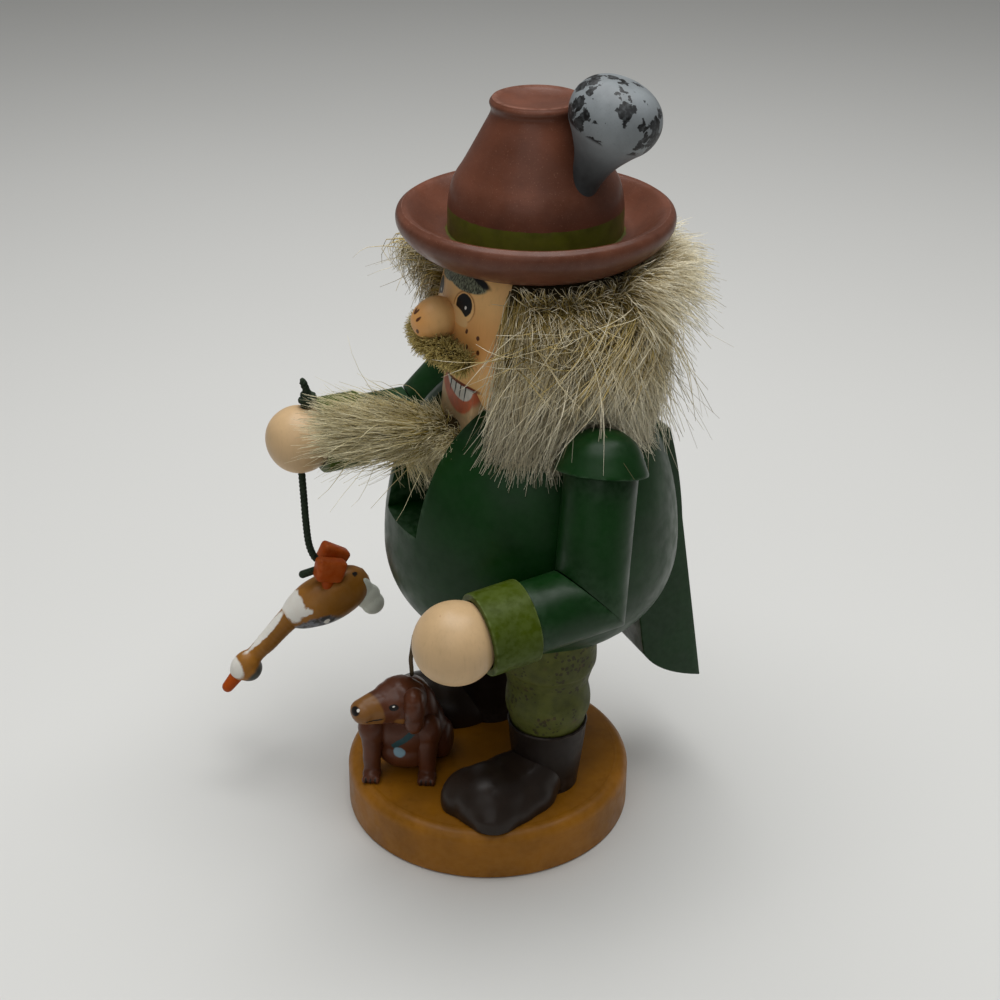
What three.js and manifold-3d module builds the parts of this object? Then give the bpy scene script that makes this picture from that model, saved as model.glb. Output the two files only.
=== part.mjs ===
// A painted wooden nutcracker: a stout hunter on a round base.
// The coat's tail is the lever that works the jaw.
// Millimetres, +Z up. The origin is the middle of the base's underside.
// The figure faces -Y, and its left hand is on +X.
import * as THREE from "three";
import { mergeVertices } from "three/addons/utils/BufferGeometryUtils.js";
import Module from "manifold-3d";

// Fits
const GLUE_GAP = 0.3; // between two glued faces where one is cut to the other
const DOWEL_CLEARANCE = 0.3; // radial, a dowel in its bore
const PIN_CLEARANCE = 0.25; // radial, the lever on its pin
const SLOT_CLEARANCE = 0.5; // each side of the lever
const SWING_CLEARANCE = 1.2; // between the lever and what it swings past

// Base
const BASE_RADIUS = 47.5;
const BASE_THICKNESS = 17;
const BASE_EDGE_ROUND = 4;

// Legs, mirrored left and right
const LEG_X = 22.5;
const LEG_Y = 11;
const TOE_OUT = 0.29; // radians
const BOOT_SHAFT_HEIGHT = 22.5;
const BOOT_SHAFT_FOOT_RADIUS = 10.2;
const BOOT_SHAFT_TOP_RADIUS = 13;
const BOOT_RIM_WIDTH = 1;
const BOOT_RECESS_DEPTH = 3;
const TOE_REACH = 26.2; // from the leg's axis to the middle of the toe
const TOE_RISE = 4.4;
const TOE_RADII = new THREE.Vector3(13.5, 14.8, 10.1);
const INSTEP_REACH = 12.3;
const INSTEP_RISE = 2.9;
const INSTEP_RADII = new THREE.Vector3(11.6, 16.4, 10.9);
const SHOE_BACK = 4; // behind the leg's axis
const TROUSER_LENGTH = 25.9; // shown between the boot and the coat's lowest point
const TROUSER_RADIUS = 13.7;
const TROUSER_DIP = 0.4; // of the wave above the knee
const TROUSER_FLARE = 1.8; // at the coat's hem
const TROUSER_INSIDE = 16.2; // hidden under the coat's egg
const LEG_DOWEL_RADIUS = 4;
const LEG_DOWEL_DEPTH = 12; // into the base and into the coat

// Coat body, turned about an axis that stands behind the base's middle
const FIGURE_Y = 15;
const COAT_RADIUS = 47.2;
const COAT_UPPER = 58; // half height of the full form above its widest ring
const COAT_LOWER = 32.4;
const COAT_FULLNESS = 2.8; // 2 is an ellipse, more is fuller
const NECK_RISE = 53.2; // from the widest ring to the flat neck

// Head
const HEAD_RADIUS = 29.5;
const HEAD_HEIGHT = 40;
const HEAD_WIDEST_RISE = 22; // above the neck
const HEAD_BULGE = 39.4; // half height of the full form
const MOUTH_RISE = 6.3; // roof of the mouth notch above the neck
const NECK_DOWEL_RADIUS = 3;
const NECK_DOWEL_DEPTH = 9;
const NECK_DOWEL_WALL = 3.3; // between the dowel and the lever's slot
const NOSE_RADIUS = 5.8;
const NOSE_LENGTH = 12.4;
const NOSE_RISE = 28; // above the neck
const NOSE_DROOP = 0.12; // radians
const NOSE_PEG_RADIUS = 2.2;
const NOSE_PEG_LENGTH = 7;
const NOSE_SEAT_DEPTH = 1.2; // of the egg's root in the face

// Hat, from its flat underside
const BRIM_SEAT_RADIUS = 28.5;
const BRIM_RADIUS = 41.5;
const BRIM_CREST = 17.6;
const BRIM_BEND = 6.1; // height where the underside turns up
const BRIM_BEND_RADIUS = 37.5;
const BRIM_WIDEST = 13.9; // height of the widest ring
const BRIM_LIP = 2; // of the crest inside the widest ring
const BRIM_ROLL = 3; // of the lip's inner side
const GUTTER_RADIUS = 29;
const CROWN_RADIUS = 26;
const CROWN_FOOT = 10.2;
const CROWN_BELLY = 18.7; // height of the widest ring
const CROWN_CHEST = [24.6, 25.2]; // radius and height
const CROWN_SHOULDER = [21.2, 31];
const CROWN_NECK = [16.2, 40.2];
const CROWN_WAIST_RADIUS = 13.4;
const CROWN_WAIST = 46.2;
const CROWN_LIP_RADIUS = 14;
const CROWN_LIP = 48.4;
const CROWN_TOP = 50;
const CROWN_DISH = 1.8; // deep, in the crown's top
const CROWN_RIM = 1.2; // of the top edge inside the lip
const HAT_DOWEL_RADIUS = 5;
const HAT_DOWEL_DEPTH = 9;
const BRUSH_BALL_RADIUS = 13;
const BRUSH_BALL_HEIGHT = 10; // of its upper half
const BRUSH_STEM_RADIUS = 4.4;
const BRUSH_WAIST_RADIUS = 5.4;
const BRUSH_WAIST = 7.7; // above the root
const BRUSH_LENGTH = 23; // root to the middle of the ball
const BRUSH_ROOT_RADIUS = 23; // from the crown's axis
const BRUSH_ROOT_RISE = 28; // above the hat's underside
const BRUSH_BEARING = 0.23; // radians from +X towards +Y
const BRUSH_LEAN = new THREE.Vector3(0.105, 0.32, 1);
const BRUSH_PEG_LENGTH = 7;

// Arms
const SLEEVE_RADIUS = 11;
const SHOULDER_RADIUS = 14;
const SHOULDER_HEIGHT = 12;
const SHOULDER_STAND_OFF = 11.2; // of the sleeve's axis from the coat at the shoulder
const ELBOW_STAND_OFF = 8.6; // and at the elbow
const LEFT_SHOULDER_RISE = 43.8; // above the coat's widest ring
const LEFT_ELBOW_RISE = 7.7;
const LEFT_ELBOW_FORWARD = 7.2; // of the coat's axis
const LEFT_FOREARM = 43.7;
const LEFT_FOREARM_DROP = 0.1; // radians
const LEFT_HAND_RADIUS = 12.5;
const RIGHT_SHOULDER_RISE = 41.7;
const RIGHT_ELBOW_RISE = 21.7;
const RIGHT_ELBOW_FORWARD = 16.5;
const RIGHT_FOREARM = 42.5;
const RIGHT_HAND_RADIUS = 11.3;
const CUFF_RADIUS = 12.6;
const CUFF_LENGTH = 15;
const HAND_IN_CUFF = 5; // how far the hand's ball reaches into the cuff
const ARM_DOWEL_RADIUS = 3;
const SHOULDER_DOWEL_LENGTH = 22;
const WRIST_DOWEL_LENGTH = 30;

// Jaw lever
const LEVER_WIDTH = 22;
const PIN_RADIUS = 2.5;
const PIN_INSET = 1.5; // of the pin's ends under the coat's surface
const PIVOT_FORWARD = 0.5; // of the coat's axis
const PIVOT_DROP = 13; // under the neck
const JAW_INSET = 1.7; // of the teeth behind the head's front
const TEETH_THICKNESS = 5;
const NUT_CUP_LENGTH = 13;
const CHIN_DROP = 23; // of the jaw's lower end under the neck
const CHIN_PROUD = 2.8; // in front of the teeth
const CHIN_HEIGHT = 4;
const LEVER_HALF_DEPTH = 11; // around the pin
const BELLY_DROP = 1; // of the lever's underside at the pin
const BEND_DROP = 4; // and where it bends down into the tail
const SLOT_FLOOR_DROP = 39; // of the slot's front lip under the neck
const TAIL_PROUD = 3; // behind the coat
const TAIL_FLARE = 13.8; // of the tail's lower end behind the coat
const TAIL_DEPTH = 20; // front to back
const TAIL_LENGTH = 65; // under the coat's widest ring
const TAIL_CORNER_RISE = 15; // of the tail's front corner above its lower end
const TAIL_HEM_SAG = 5; // of the lower edge's curve
const TAIL_SHOULDER_DROP = 6.5; // of the lever's back shoulder under the pin
const TAIL_SHOULDER_WIDTH = 7;
const TAIL_SHOULDER_RISE = 3;
const SLOT_BEND = 8; // of the slot's floor in front of the tail

// Fur
const FUR_GAP = 0.5;
const HAIR_LENGTH = 44;
const HAIR_RADIUS = 46.5;
const HAIR_TOP_RADIUS = 35;
const HAIR_THICKNESS = 11; // at its lower end
const HAIR_FRONT_ANGLE = 0.8; // radians each side of the nose
const HAIR_PARTING = 2; // each side of the lever
const HAIR_PARTING_RISE = 8; // above the neck
const MOUSTACHE_RADII = new THREE.Vector3(13, 6, 6);
const MOUSTACHE_RISE = 16; // above the neck
const BEARD_LENGTH = 44;
const BEARD_DROP = 3; // of its root under the neck
const BEARD_ROOT = 15; // height at the jaw
const BEARD_LIFT = 5.5; // of the tip's lower edge
const BEARD_TIP = 8;
const BEARD_INSET = 0.5; // each side, inside the lever's width

// Dog, in its own frame: its chest faces -Y and it sits on z = 0
const DOG_X = 0.1;
const DOG_Y = -32.2;
const DOG_TURN = 1.08; // radians
const DOG_CHEST = new THREE.Vector3(3.5, 6.5, 20.5);
const DOG_CHEST_RADII = new THREE.Vector3(8.6, 8.5, 16);
const DOG_RUMP = new THREE.Vector3(6.5, 11, 10);
const DOG_RUMP_RADII = new THREE.Vector3(8.5, 10, 13);
const DOG_HAUNCH_RADII = new THREE.Vector3(4, 7, 7.2);
const DOG_HAUNCH_SPREAD = 6.5;
const DOG_SKULL = new THREE.Vector3(1.2, -2, 30.6);
const DOG_SKULL_RADIUS = 7.6;
const DOG_MUZZLE_ROOT = 6.8; // radius
const DOG_MUZZLE_TIP = 3.5; // radius
const DOG_MUZZLE_LENGTH = 15;
const DOG_MUZZLE_WAY = new THREE.Vector3(-0.8, -0.58, 0.02).normalize();
const DOG_EAR_RADII = new THREE.Vector3(3.2, 3.2, 7.4);
const DOG_EAR_SPREAD = 6.6;
const DOG_EAR_BACK = 1.4;
const DOG_EAR_DROP = 1.6;
const DOG_PAW_SPREAD = 9.2;
const DOG_PAW_FORWARD = 4;
const DOG_PAW_RADII = new THREE.Vector3(3.3, 4.2, 3.2);
const DOG_LEG_RADIUS = 3.1;
const DOG_SHOULDER_RADIUS = 4;
const DOG_SHOULDER_RISE = 19.5;

// Goose and its cord, under the right hand
const CORD_RADIUS = 1.3;
const CORD_SIDES = 8;
const CORD_BORE_RADIUS = 1.8;
const KNOT_RADIUS = 3.1;
const KNOT_HEIGHT = 4.4;
const KNOT_TAIL = 9;
const GOOSE_MIDDLE = new THREE.Vector3(0, 2.2, -15); // from the cord's lower end
const GOOSE_LENGTH = 33;
const GOOSE_RADIUS = 8.3;
const GOOSE_TILT = 0.31; // radians, tail up
const GOOSE_NECK_ROOT = 13.9; // ahead of the body's middle
const GOOSE_NECK_LENGTH = 23;
const GOOSE_NECK_WAY = new THREE.Vector3(0, -0.75, -0.66).normalize();
const GOOSE_NECK_RADIUS = 4;
const GOOSE_THROAT_RADIUS = 2.7;
const GOOSE_HEAD_RADII = new THREE.Vector3(4.8, 4.8, 6.6);
const BEAK_WAY = new THREE.Vector3(0, -0.68, -0.73).normalize();
const BEAK_INSET = 3;
const BEAK_LENGTH = 8.5;
const BEAK_ROOT_RADIUS = 2.6;
const BEAK_TIP_RADIUS = 1.4;
const GOOSE_TAIL_PLACE = new THREE.Vector3(0, 17.4, -2.8); // from the body's middle
const GOOSE_TAIL_WAY = new THREE.Vector3(0, 0.55, -0.83);
const GOOSE_TAIL_RADII = new THREE.Vector3(5, 3, 8);
const GOOSE_FOOT_SPREAD = 4.4;
const GOOSE_LEG_ROOT = new THREE.Vector3(0, 1.5, -8); // from the cord's lower end
const GOOSE_FOOT_END = new THREE.Vector3(0, 5.4, 4);
const GOOSE_LEG_RADIUS = 3.3;
const GOOSE_FOOT_RADIUS = 3.9;
const GOOSE_FOOT_STAGGER = 1; // the near foot forward, the far foot back
// The cord's route from the bore's lower mouth to the goose's feet.
const GOOSE_CORD_ROUTE = [
  [0, 0, 0],
  [0, 0.3, -10],
  [0, 0.6, -20],
  [0, 1.2, -28],
  [0, 2.6, -33],
  [0, 4.4, -36],
];
// The leash's route from the left hand to the dog's neck.
const LEASH_RADIUS = 0.7;
const LEASH_ROUTE = [
  [44.6, -44.1, 100],
  [32.6, -40, 87.4],
  [20.6, -35.8, 75.2],
  [9.4, -31.2, 64.2],
  [-1.6, -26.7, 53.3],
];

// Facets round a turned piece
const FINE = 36;
const MEDIUM = 22;
const COARSE = 14;
const DOWEL_SIDES = 10;
const COAT_RINGS = 16;
const HEAD_RINGS = 8;
const ARC_STEPS = 3;
const CORD_STEP = 3; // diameters
const SPAN = 400; // longer than the object

// Heights that follow from the sizes above
const bootTop = BASE_THICKNESS + BOOT_SHAFT_HEIGHT;
const coatWidest = bootTop + TROUSER_LENGTH + COAT_LOWER;
const neckZ = coatWidest + NECK_RISE;
const hatSeat = neckZ + HEAD_HEIGHT;
const mouthRoof = neckZ + MOUTH_RISE;
const pivot = new THREE.Vector3(0, FIGURE_Y - PIVOT_FORWARD, neckZ - PIVOT_DROP);

const wasm = await Module();
wasm.setup();

const at = (x, y, z) => new THREE.Vector3(x, y, z);
const UP = at(0, 0, 1);

// A closed geometry as a solid for cutting and joining.
function solid(geometry) {
  const bare = geometry.clone();
  bare.deleteAttribute("normal");
  bare.deleteAttribute("uv");
  const merged = mergeVertices(bare, 1e-4);
  const corners = merged.index.array;
  const triangles = [];
  for (let i = 0; i < corners.length; i += 3) {
    const [a, b, c] = corners.slice(i, i + 3);
    if (a !== b && b !== c && c !== a) triangles.push(a, b, c);
  }
  const vertProperties = merged.attributes.position.array;
  const triVerts = new Uint32Array(triangles);
  return new wasm.Manifold(new wasm.Mesh({ numProp: 3, vertProperties, triVerts }));
}

function joined(geometries) {
  return geometries.map(solid).reduce((whole, next) => whole.add(next));
}

function geometryOf(form) {
  const { vertProperties, triVerts } = form.getMesh();
  const geometry = new THREE.BufferGeometry();
  geometry.setAttribute("position", new THREE.BufferAttribute(vertProperties, 3));
  geometry.setIndex(new THREE.BufferAttribute(triVerts, 1));
  geometry.computeVertexNormals();
  return geometry;
}

function paint(color, roughness = 0.45) {
  return new THREE.MeshStandardMaterial({ color, roughness, metalness: 0 });
}

const coatGreen = paint(0x14432a, 0.35);
const cuffGreen = paint(0x4d6a1c, 0.4);
const trouserGreen = paint(0x5c6a2c, 0.7);
const bootBrown = paint(0x2a2220, 0.4);
const baseOchre = paint(0xb06f22, 0.45);
const fleshPaint = paint(0xe8b887, 0.4);
const hatBrown = paint(0x5e2c22, 0.35);
const brushGrey = paint(0x7c8288, 0.5);
const fur = paint(0xa89a6a, 0.9);
const bareWood = paint(0xd8b483, 0.7);
const steel = new THREE.MeshStandardMaterial({ color: 0x9a9a9a, roughness: 0.35, metalness: 1 });
const dogBrown = paint(0x5a2a18, 0.45);
const cordGreen = paint(0x2c382c, 0.9);
const leashBrown = paint(0x4a3c28, 0.9);
const gooseTan = paint(0xa9743a, 0.5);
const gooseGrey = paint(0x9aa0a6, 0.5);
const gooseOrange = paint(0xb8501e, 0.45);

const nutcracker = new THREE.Group();

function piece(name, form, material, parent = nutcracker) {
  const geometry = form.isBufferGeometry ? geometryOf(solid(form)) : geometryOf(form);
  const mesh = new THREE.Mesh(geometry, material);
  mesh.name = name;
  parent.add(mesh);
  return mesh;
}

// A piece turned about the Z axis, from a profile of points that starts and ends on the axis.
function turned(profile, sides = MEDIUM) {
  return new THREE.LatheGeometry(profile, sides).rotateX(Math.PI / 2);
}

function profileOf(points) {
  return points.map(([radius, height]) => new THREE.Vector2(radius, height));
}

// A round rod between two points, which may taper.
function rod(from, to, fromRadius, toRadius = fromRadius, sides = COARSE) {
  const axis = to.clone().sub(from);
  const length = axis.length();
  const geometry = new THREE.CylinderGeometry(toRadius, fromRadius, length, sides);
  geometry.translate(0, length / 2, 0);
  const turn = new THREE.Quaternion().setFromUnitVectors(at(0, 1, 0), axis.normalize());
  return geometry.applyQuaternion(turn).translate(from.x, from.y, from.z);
}

function dowelRod(from, to, radius) {
  return rod(from, to, radius, radius, DOWEL_SIDES);
}

// Moves a piece made about +Z so that its origin is at a point and its axis runs along a direction.
function aimed(geometry, point, direction) {
  const turn = new THREE.Quaternion().setFromUnitVectors(UP, direction.clone().normalize());
  return geometry.applyQuaternion(turn).translate(point.x, point.y, point.z);
}

function ellipsoid(centre, radii, sides = COARSE) {
  const ball = new THREE.SphereGeometry(1, sides, Math.round(sides * 0.6));
  return ball.scale(radii.x, radii.y, radii.z).translate(centre.x, centre.y, centre.z);
}

function block(low, high) {
  const size = high.clone().sub(low);
  const middle = low.clone().add(high).multiplyScalar(0.5);
  return new THREE.BoxGeometry(size.x, size.y, size.z).translate(middle.x, middle.y, middle.z);
}

// All space on the far side of a plane: where the plane's normal points away from.
function behindPlane(point, normal) {
  const box = new THREE.BoxGeometry(SPAN, SPAN, SPAN).translate(0, 0, -SPAN / 2);
  return solid(aimed(box, point, normal));
}

// A side outline in (y, z), as wide along X as given and centred on X = 0.
function board(outline, width) {
  const options = { depth: width, bevelEnabled: false, curveSegments: 8 };
  const geometry = new THREE.ExtrudeGeometry(outline, options);
  const axes = new THREE.Matrix4().makeBasis(at(0, 1, 0), UP, at(1, 0, 0));
  return geometry.translate(0, 0, -width / 2).applyMatrix4(axes);
}

// A cord along points, with a round section.
function cord(points, radius) {
  const section = new THREE.Shape();
  for (let side = 0; side < CORD_SIDES; side++) {
    const angle = (side / CORD_SIDES) * 2 * Math.PI;
    const [x, y] = [radius * Math.cos(angle), radius * Math.sin(angle)];
    if (side === 0) section.moveTo(x, y);
    else section.lineTo(x, y);
  }
  section.closePath();
  const route = new THREE.CatmullRomCurve3(points);
  const steps = Math.round(route.getLength() / (2 * radius * CORD_STEP));
  return new THREE.ExtrudeGeometry(section, { steps, extrudePath: route, bevelEnabled: false });
}

function smoothOutline(points) {
  return new THREE.SplineCurve(profileOf(points)).getPoints(Math.round(1.6 * points.length));
}

// The coat's radius at a height, and its profile up to the neck.
function coatRadius(z, grow = 0) {
  const half = (z > coatWidest ? COAT_UPPER : COAT_LOWER) + grow;
  const rise = Math.min(1, Math.abs(z - coatWidest) / half);
  return (COAT_RADIUS + grow) * Math.pow(1 - rise * rise, 1 / COAT_FULLNESS);
}

function coatForm(grow = 0) {
  const lowest = -Math.PI / 2;
  const highest = Math.asin(NECK_RISE / COAT_UPPER);
  const points = [];
  for (let i = 0; i <= COAT_RINGS; i++) {
    const angle = lowest + ((highest - lowest) * i) / COAT_RINGS;
    const half = (angle > 0 ? COAT_UPPER : COAT_LOWER) + grow;
    const z = coatWidest + half * Math.sin(angle);
    points.push(new THREE.Vector2(i === 0 ? 0 : coatRadius(z, grow), z));
  }
  points[COAT_RINGS].y = neckZ + grow;
  points.push(new THREE.Vector2(0, neckZ + grow));
  return turned(points, FINE).translate(0, FIGURE_Y, 0);
}

function headRadius(z, grow = 0) {
  const rise = (z - neckZ - HEAD_WIDEST_RISE) / (HEAD_BULGE + grow);
  return (HEAD_RADIUS + grow) * Math.sqrt(1 - rise * rise);
}

function headForm(grow = 0) {
  const points = [new THREE.Vector2(0, neckZ)];
  for (let i = 0; i <= HEAD_RINGS; i++) {
    const z = neckZ + (HEAD_HEIGHT * i) / HEAD_RINGS;
    points.push(new THREE.Vector2(headRadius(z, grow), z));
  }
  points.push(new THREE.Vector2(0, hatSeat));
  return turned(points, FINE).translate(0, FIGURE_Y, 0);
}

const coatGrown = solid(coatForm(GLUE_GAP));
const headGrown = solid(headForm(FUR_GAP));

// Base
const baseProfile = new THREE.Path();
baseProfile.moveTo(0, 0).lineTo(BASE_RADIUS, 0);
baseProfile.lineTo(BASE_RADIUS, BASE_THICKNESS - BASE_EDGE_ROUND);
const edgeCentre = [BASE_RADIUS - BASE_EDGE_ROUND, BASE_THICKNESS - BASE_EDGE_ROUND];
baseProfile.absarc(...edgeCentre, BASE_EDGE_ROUND, 0, Math.PI / 2).lineTo(0, BASE_THICKNESS);
let base = solid(turned(baseProfile.getPoints(ARC_STEPS), FINE));

// The coat's cuts are gathered while the pieces that enter it are made.
let coat = solid(coatForm());
let head = solid(headForm());

// Legs
function trouserForm() {
  const foot = bootTop - BOOT_RECESS_DEPTH;
  const tucked = BOOT_SHAFT_TOP_RADIUS - BOOT_RIM_WIDTH - GLUE_GAP;
  const hem = BOOT_RECESS_DEPTH + TROUSER_LENGTH;
  const waves = smoothOutline([
    [tucked, 0],
    [tucked, BOOT_RECESS_DEPTH],
    [TROUSER_RADIUS, BOOT_RECESS_DEPTH + TROUSER_LENGTH / 3],
    [TROUSER_RADIUS - TROUSER_DIP, BOOT_RECESS_DEPTH + (TROUSER_LENGTH * 2) / 3],
    [TROUSER_RADIUS + TROUSER_FLARE, hem],
    [TROUSER_RADIUS + TROUSER_FLARE, hem + TROUSER_INSIDE],
  ]);
  const top = waves[waves.length - 1].y;
  const points = [new THREE.Vector2(0, 0), ...waves, new THREE.Vector2(0, top)];
  return turned(points).translate(0, 0, foot);
}

function bootShaftForm(grow = 0) {
  const recess = BOOT_SHAFT_TOP_RADIUS - BOOT_RIM_WIDTH;
  const floor = BOOT_SHAFT_HEIGHT - BOOT_RECESS_DEPTH;
  const cup = grow > 0 ? [] : [[recess, BOOT_SHAFT_HEIGHT], [recess, floor]];
  const inside = grow > 0 ? BOOT_SHAFT_HEIGHT : floor;
  const points = [
    [0, 0],
    [BOOT_SHAFT_FOOT_RADIUS + grow, 0],
    [BOOT_SHAFT_TOP_RADIUS + grow, BOOT_SHAFT_HEIGHT],
    ...cup,
    [0, inside],
  ];
  return turned(profileOf(points)).translate(0, 0, BASE_THICKNESS);
}

// A carved shoe in the leg's own frame: a broad toe, a dipped instep and low sides, flat underneath.
function shoeForm() {
  const toe = ellipsoid(at(0, -TOE_REACH, BASE_THICKNESS + TOE_RISE), TOE_RADII);
  const instep = ellipsoid(at(0, -INSTEP_REACH, BASE_THICKNESS + INSTEP_RISE), INSTEP_RADII);
  const sole = behindPlane(at(0, 0, BASE_THICKNESS), UP);
  const heel = behindPlane(at(0, SHOE_BACK, 0), at(0, -1, 0));
  return joined([toe, instep]).subtract(sole).subtract(heel);
}

for (const [side, sign] of [["left", 1], ["right", -1]]) {
  const leg = new THREE.Group();
  leg.position.set(sign * LEG_X, LEG_Y, 0);
  nutcracker.add(leg);
  const dowelFoot = at(0, 0, BASE_THICKNESS - LEG_DOWEL_DEPTH);
  const dowelTop = at(0, 0, coatWidest - COAT_LOWER + LEG_DOWEL_DEPTH);
  const boreFoot = dowelFoot.clone().addScaledVector(UP, -DOWEL_CLEARANCE);
  const boreTop = dowelTop.clone().addScaledVector(UP, DOWEL_CLEARANCE);
  const boreRadius = LEG_DOWEL_RADIUS + DOWEL_CLEARANCE;
  const bore = dowelRod(boreFoot, boreTop, boreRadius);
  const boreInLeg = solid(bore);
  const boreInBody = solid(bore.clone().translate(sign * LEG_X, LEG_Y, 0));
  base = base.subtract(boreInBody);
  coat = coat.subtract(boreInBody);

  const turn = new THREE.Group();
  turn.rotation.z = sign * TOE_OUT;
  leg.add(turn);
  const shaftRoom = solid(bootShaftForm(GLUE_GAP));
  piece(`${side}_shoe`, shoeForm().subtract(shaftRoom), bootBrown, turn);
  piece(`${side}_boot_shaft`, solid(bootShaftForm()).subtract(boreInLeg), bootBrown, leg);
  const trouser = solid(trouserForm().translate(sign * LEG_X, LEG_Y, 0));
  piece(`${side}_trouser_leg`, trouser.subtract(coatGrown).subtract(boreInBody), trouserGreen);
  piece(`${side}_leg_dowel`, dowelRod(dowelFoot, dowelTop, LEG_DOWEL_RADIUS), bareWood, leg);
}
piece("base_disc", base, baseOchre);

// Jaw lever: the back follows the coat and then runs straight down to the tail's end.
const coatBack = (z) => FIGURE_Y + coatRadius(z);
const teethTop = mouthRoof - SLOT_CLEARANCE;
const teethFront = FIGURE_Y - headRadius(teethTop) + JAW_INSET;
const chinFront = teethFront - CHIN_PROUD;
const chinZ = neckZ - CHIN_DROP;
const leverCrest = pivot.z + LEVER_HALF_DEPTH;
const leverBelly = pivot.z - LEVER_HALF_DEPTH - BELLY_DROP;
// The crest's back edge passes under the head as the lever swings.
const crestSwing = PIVOT_DROP - SLOT_CLEARANCE;
const crestBack = pivot.y + Math.sqrt(crestSwing * crestSwing - LEVER_HALF_DEPTH * LEVER_HALF_DEPTH);
const cupFront = teethFront + TEETH_THICKNESS;
const mouthBack = cupFront + NUT_CUP_LENGTH;
const waistBack = coatBack(coatWidest) + TAIL_PROUD;
const waistFront = waistBack - TAIL_DEPTH;
const tailEnd = [coatBack(coatWidest) + TAIL_FLARE, coatWidest - TAIL_LENGTH];
const tailFront = [tailEnd[0] - TAIL_DEPTH - TAIL_PROUD, tailEnd[1] + TAIL_CORNER_RISE];
const tailTop = pivot.z - TAIL_SHOULDER_DROP;
const tailTopBack = coatBack(tailTop) + TAIL_PROUD;

function leverOutline() {
  const outline = new THREE.Shape();
  outline.moveTo(teethFront, teethTop).lineTo(chinFront, chinZ + CHIN_HEIGHT);
  outline.lineTo(chinFront, chinZ).lineTo(pivot.y, leverBelly);
  outline.quadraticCurveTo(waistFront - BEND_DROP, leverBelly - BEND_DROP, waistFront, coatWidest);
  outline.lineTo(...tailFront);
  outline.quadraticCurveTo(tailFront[0] + TAIL_HEM_SAG, tailEnd[1] + TAIL_HEM_SAG, ...tailEnd);
  outline.lineTo(waistBack, coatWidest);
  const midway = (coatWidest + tailTop) / 2;
  outline.quadraticCurveTo(coatBack(midway) + TAIL_PROUD, midway, tailTopBack, tailTop);
  outline.lineTo(tailTopBack - TAIL_SHOULDER_WIDTH, tailTop + TAIL_SHOULDER_RISE);
  outline.lineTo(crestBack, leverCrest).lineTo(cupFront, leverCrest);
  outline.lineTo(cupFront, teethTop);
  return outline;
}

function pinRod(radius, halfLength) {
  const [from, to] = [pivot.clone(), pivot.clone()];
  from.x = -halfLength;
  to.x = halfLength;
  return solid(dowelRod(from, to, radius));
}

const pinHalf = coatRadius(pivot.z) - PIN_INSET;
piece("pivot_pin", pinRod(PIN_RADIUS, pinHalf), steel);
const lever = solid(board(leverOutline(), LEVER_WIDTH));
piece("jaw_lever", lever.subtract(pinRod(PIN_RADIUS + PIN_CLEARANCE, LEVER_WIDTH)), coatGreen);

// The slot: a floor under the jaw at the front, open at the top and down the back for the tail.
const slotFloor = neckZ - SLOT_FLOOR_DROP;
const slotOutline = new THREE.Shape();
slotOutline.moveTo(-SPAN, slotFloor).lineTo(pivot.y, slotFloor);
slotOutline.lineTo(waistFront - SLOT_BEND, coatWidest + SLOT_BEND);
slotOutline.lineTo(waistFront - SWING_CLEARANCE, coatWidest);
slotOutline.lineTo(tailFront[0] - SWING_CLEARANCE, tailFront[1]);
slotOutline.lineTo(tailFront[0] - SWING_CLEARANCE, 0).lineTo(SPAN, 0);
slotOutline.lineTo(SPAN, SPAN).lineTo(-SPAN, SPAN);
const slotWidth = LEVER_WIDTH + 2 * SLOT_CLEARANCE;
coat = coat.subtract(solid(board(slotOutline, slotWidth)));
coat = coat.subtract(pinRod(PIN_RADIUS + DOWEL_CLEARANCE, SPAN / 2));

// The mouth notch in the head, open at the front.
const notchLow = at(-slotWidth / 2, -SPAN, 0);
const notchHigh = at(slotWidth / 2, mouthBack + SWING_CLEARANCE, mouthRoof);
head = head.subtract(solid(block(notchLow, notchHigh)));

// Neck dowels on both sides of the slot
const neckDowelX = slotWidth / 2 + NECK_DOWEL_WALL + NECK_DOWEL_RADIUS;
for (const [side, sign] of [["left", 1], ["right", -1]]) {
  const foot = at(sign * neckDowelX, FIGURE_Y, neckZ - NECK_DOWEL_DEPTH);
  const top = at(sign * neckDowelX, FIGURE_Y, neckZ + NECK_DOWEL_DEPTH);
  piece(`${side}_neck_dowel`, dowelRod(foot, top, NECK_DOWEL_RADIUS), bareWood);
  const boreFoot = foot.clone().addScaledVector(UP, -DOWEL_CLEARANCE);
  const boreTop = top.clone().addScaledVector(UP, DOWEL_CLEARANCE);
  const radius = NECK_DOWEL_RADIUS + DOWEL_CLEARANCE;
  const bore = solid(dowelRod(boreFoot, boreTop, radius));
  coat = coat.subtract(bore);
  head = head.subtract(bore);
}

// Nose: an egg on a peg
const noseZ = neckZ + NOSE_RISE;
const noseRoot = at(0, FIGURE_Y - headRadius(noseZ), noseZ);
const noseAxis = at(0, -Math.cos(NOSE_DROOP), -Math.sin(NOSE_DROOP));

function noseForm(grow = 0) {
  const egg = smoothOutline([
    [NOSE_PEG_RADIUS + grow, -NOSE_SEAT_DEPTH],
    [NOSE_RADIUS * 0.8 + grow, NOSE_SEAT_DEPTH],
    [NOSE_RADIUS + grow, NOSE_LENGTH * 0.5],
    [NOSE_RADIUS * 0.7 + grow, NOSE_LENGTH * 0.88],
    [0, NOSE_LENGTH + grow],
  ]);
  const peg = profileOf([
    [0, -NOSE_PEG_LENGTH - grow],
    [NOSE_PEG_RADIUS + grow, -NOSE_PEG_LENGTH - grow],
  ]);
  return aimed(turned([...peg, ...egg], COARSE), noseRoot, noseAxis);
}

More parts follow.
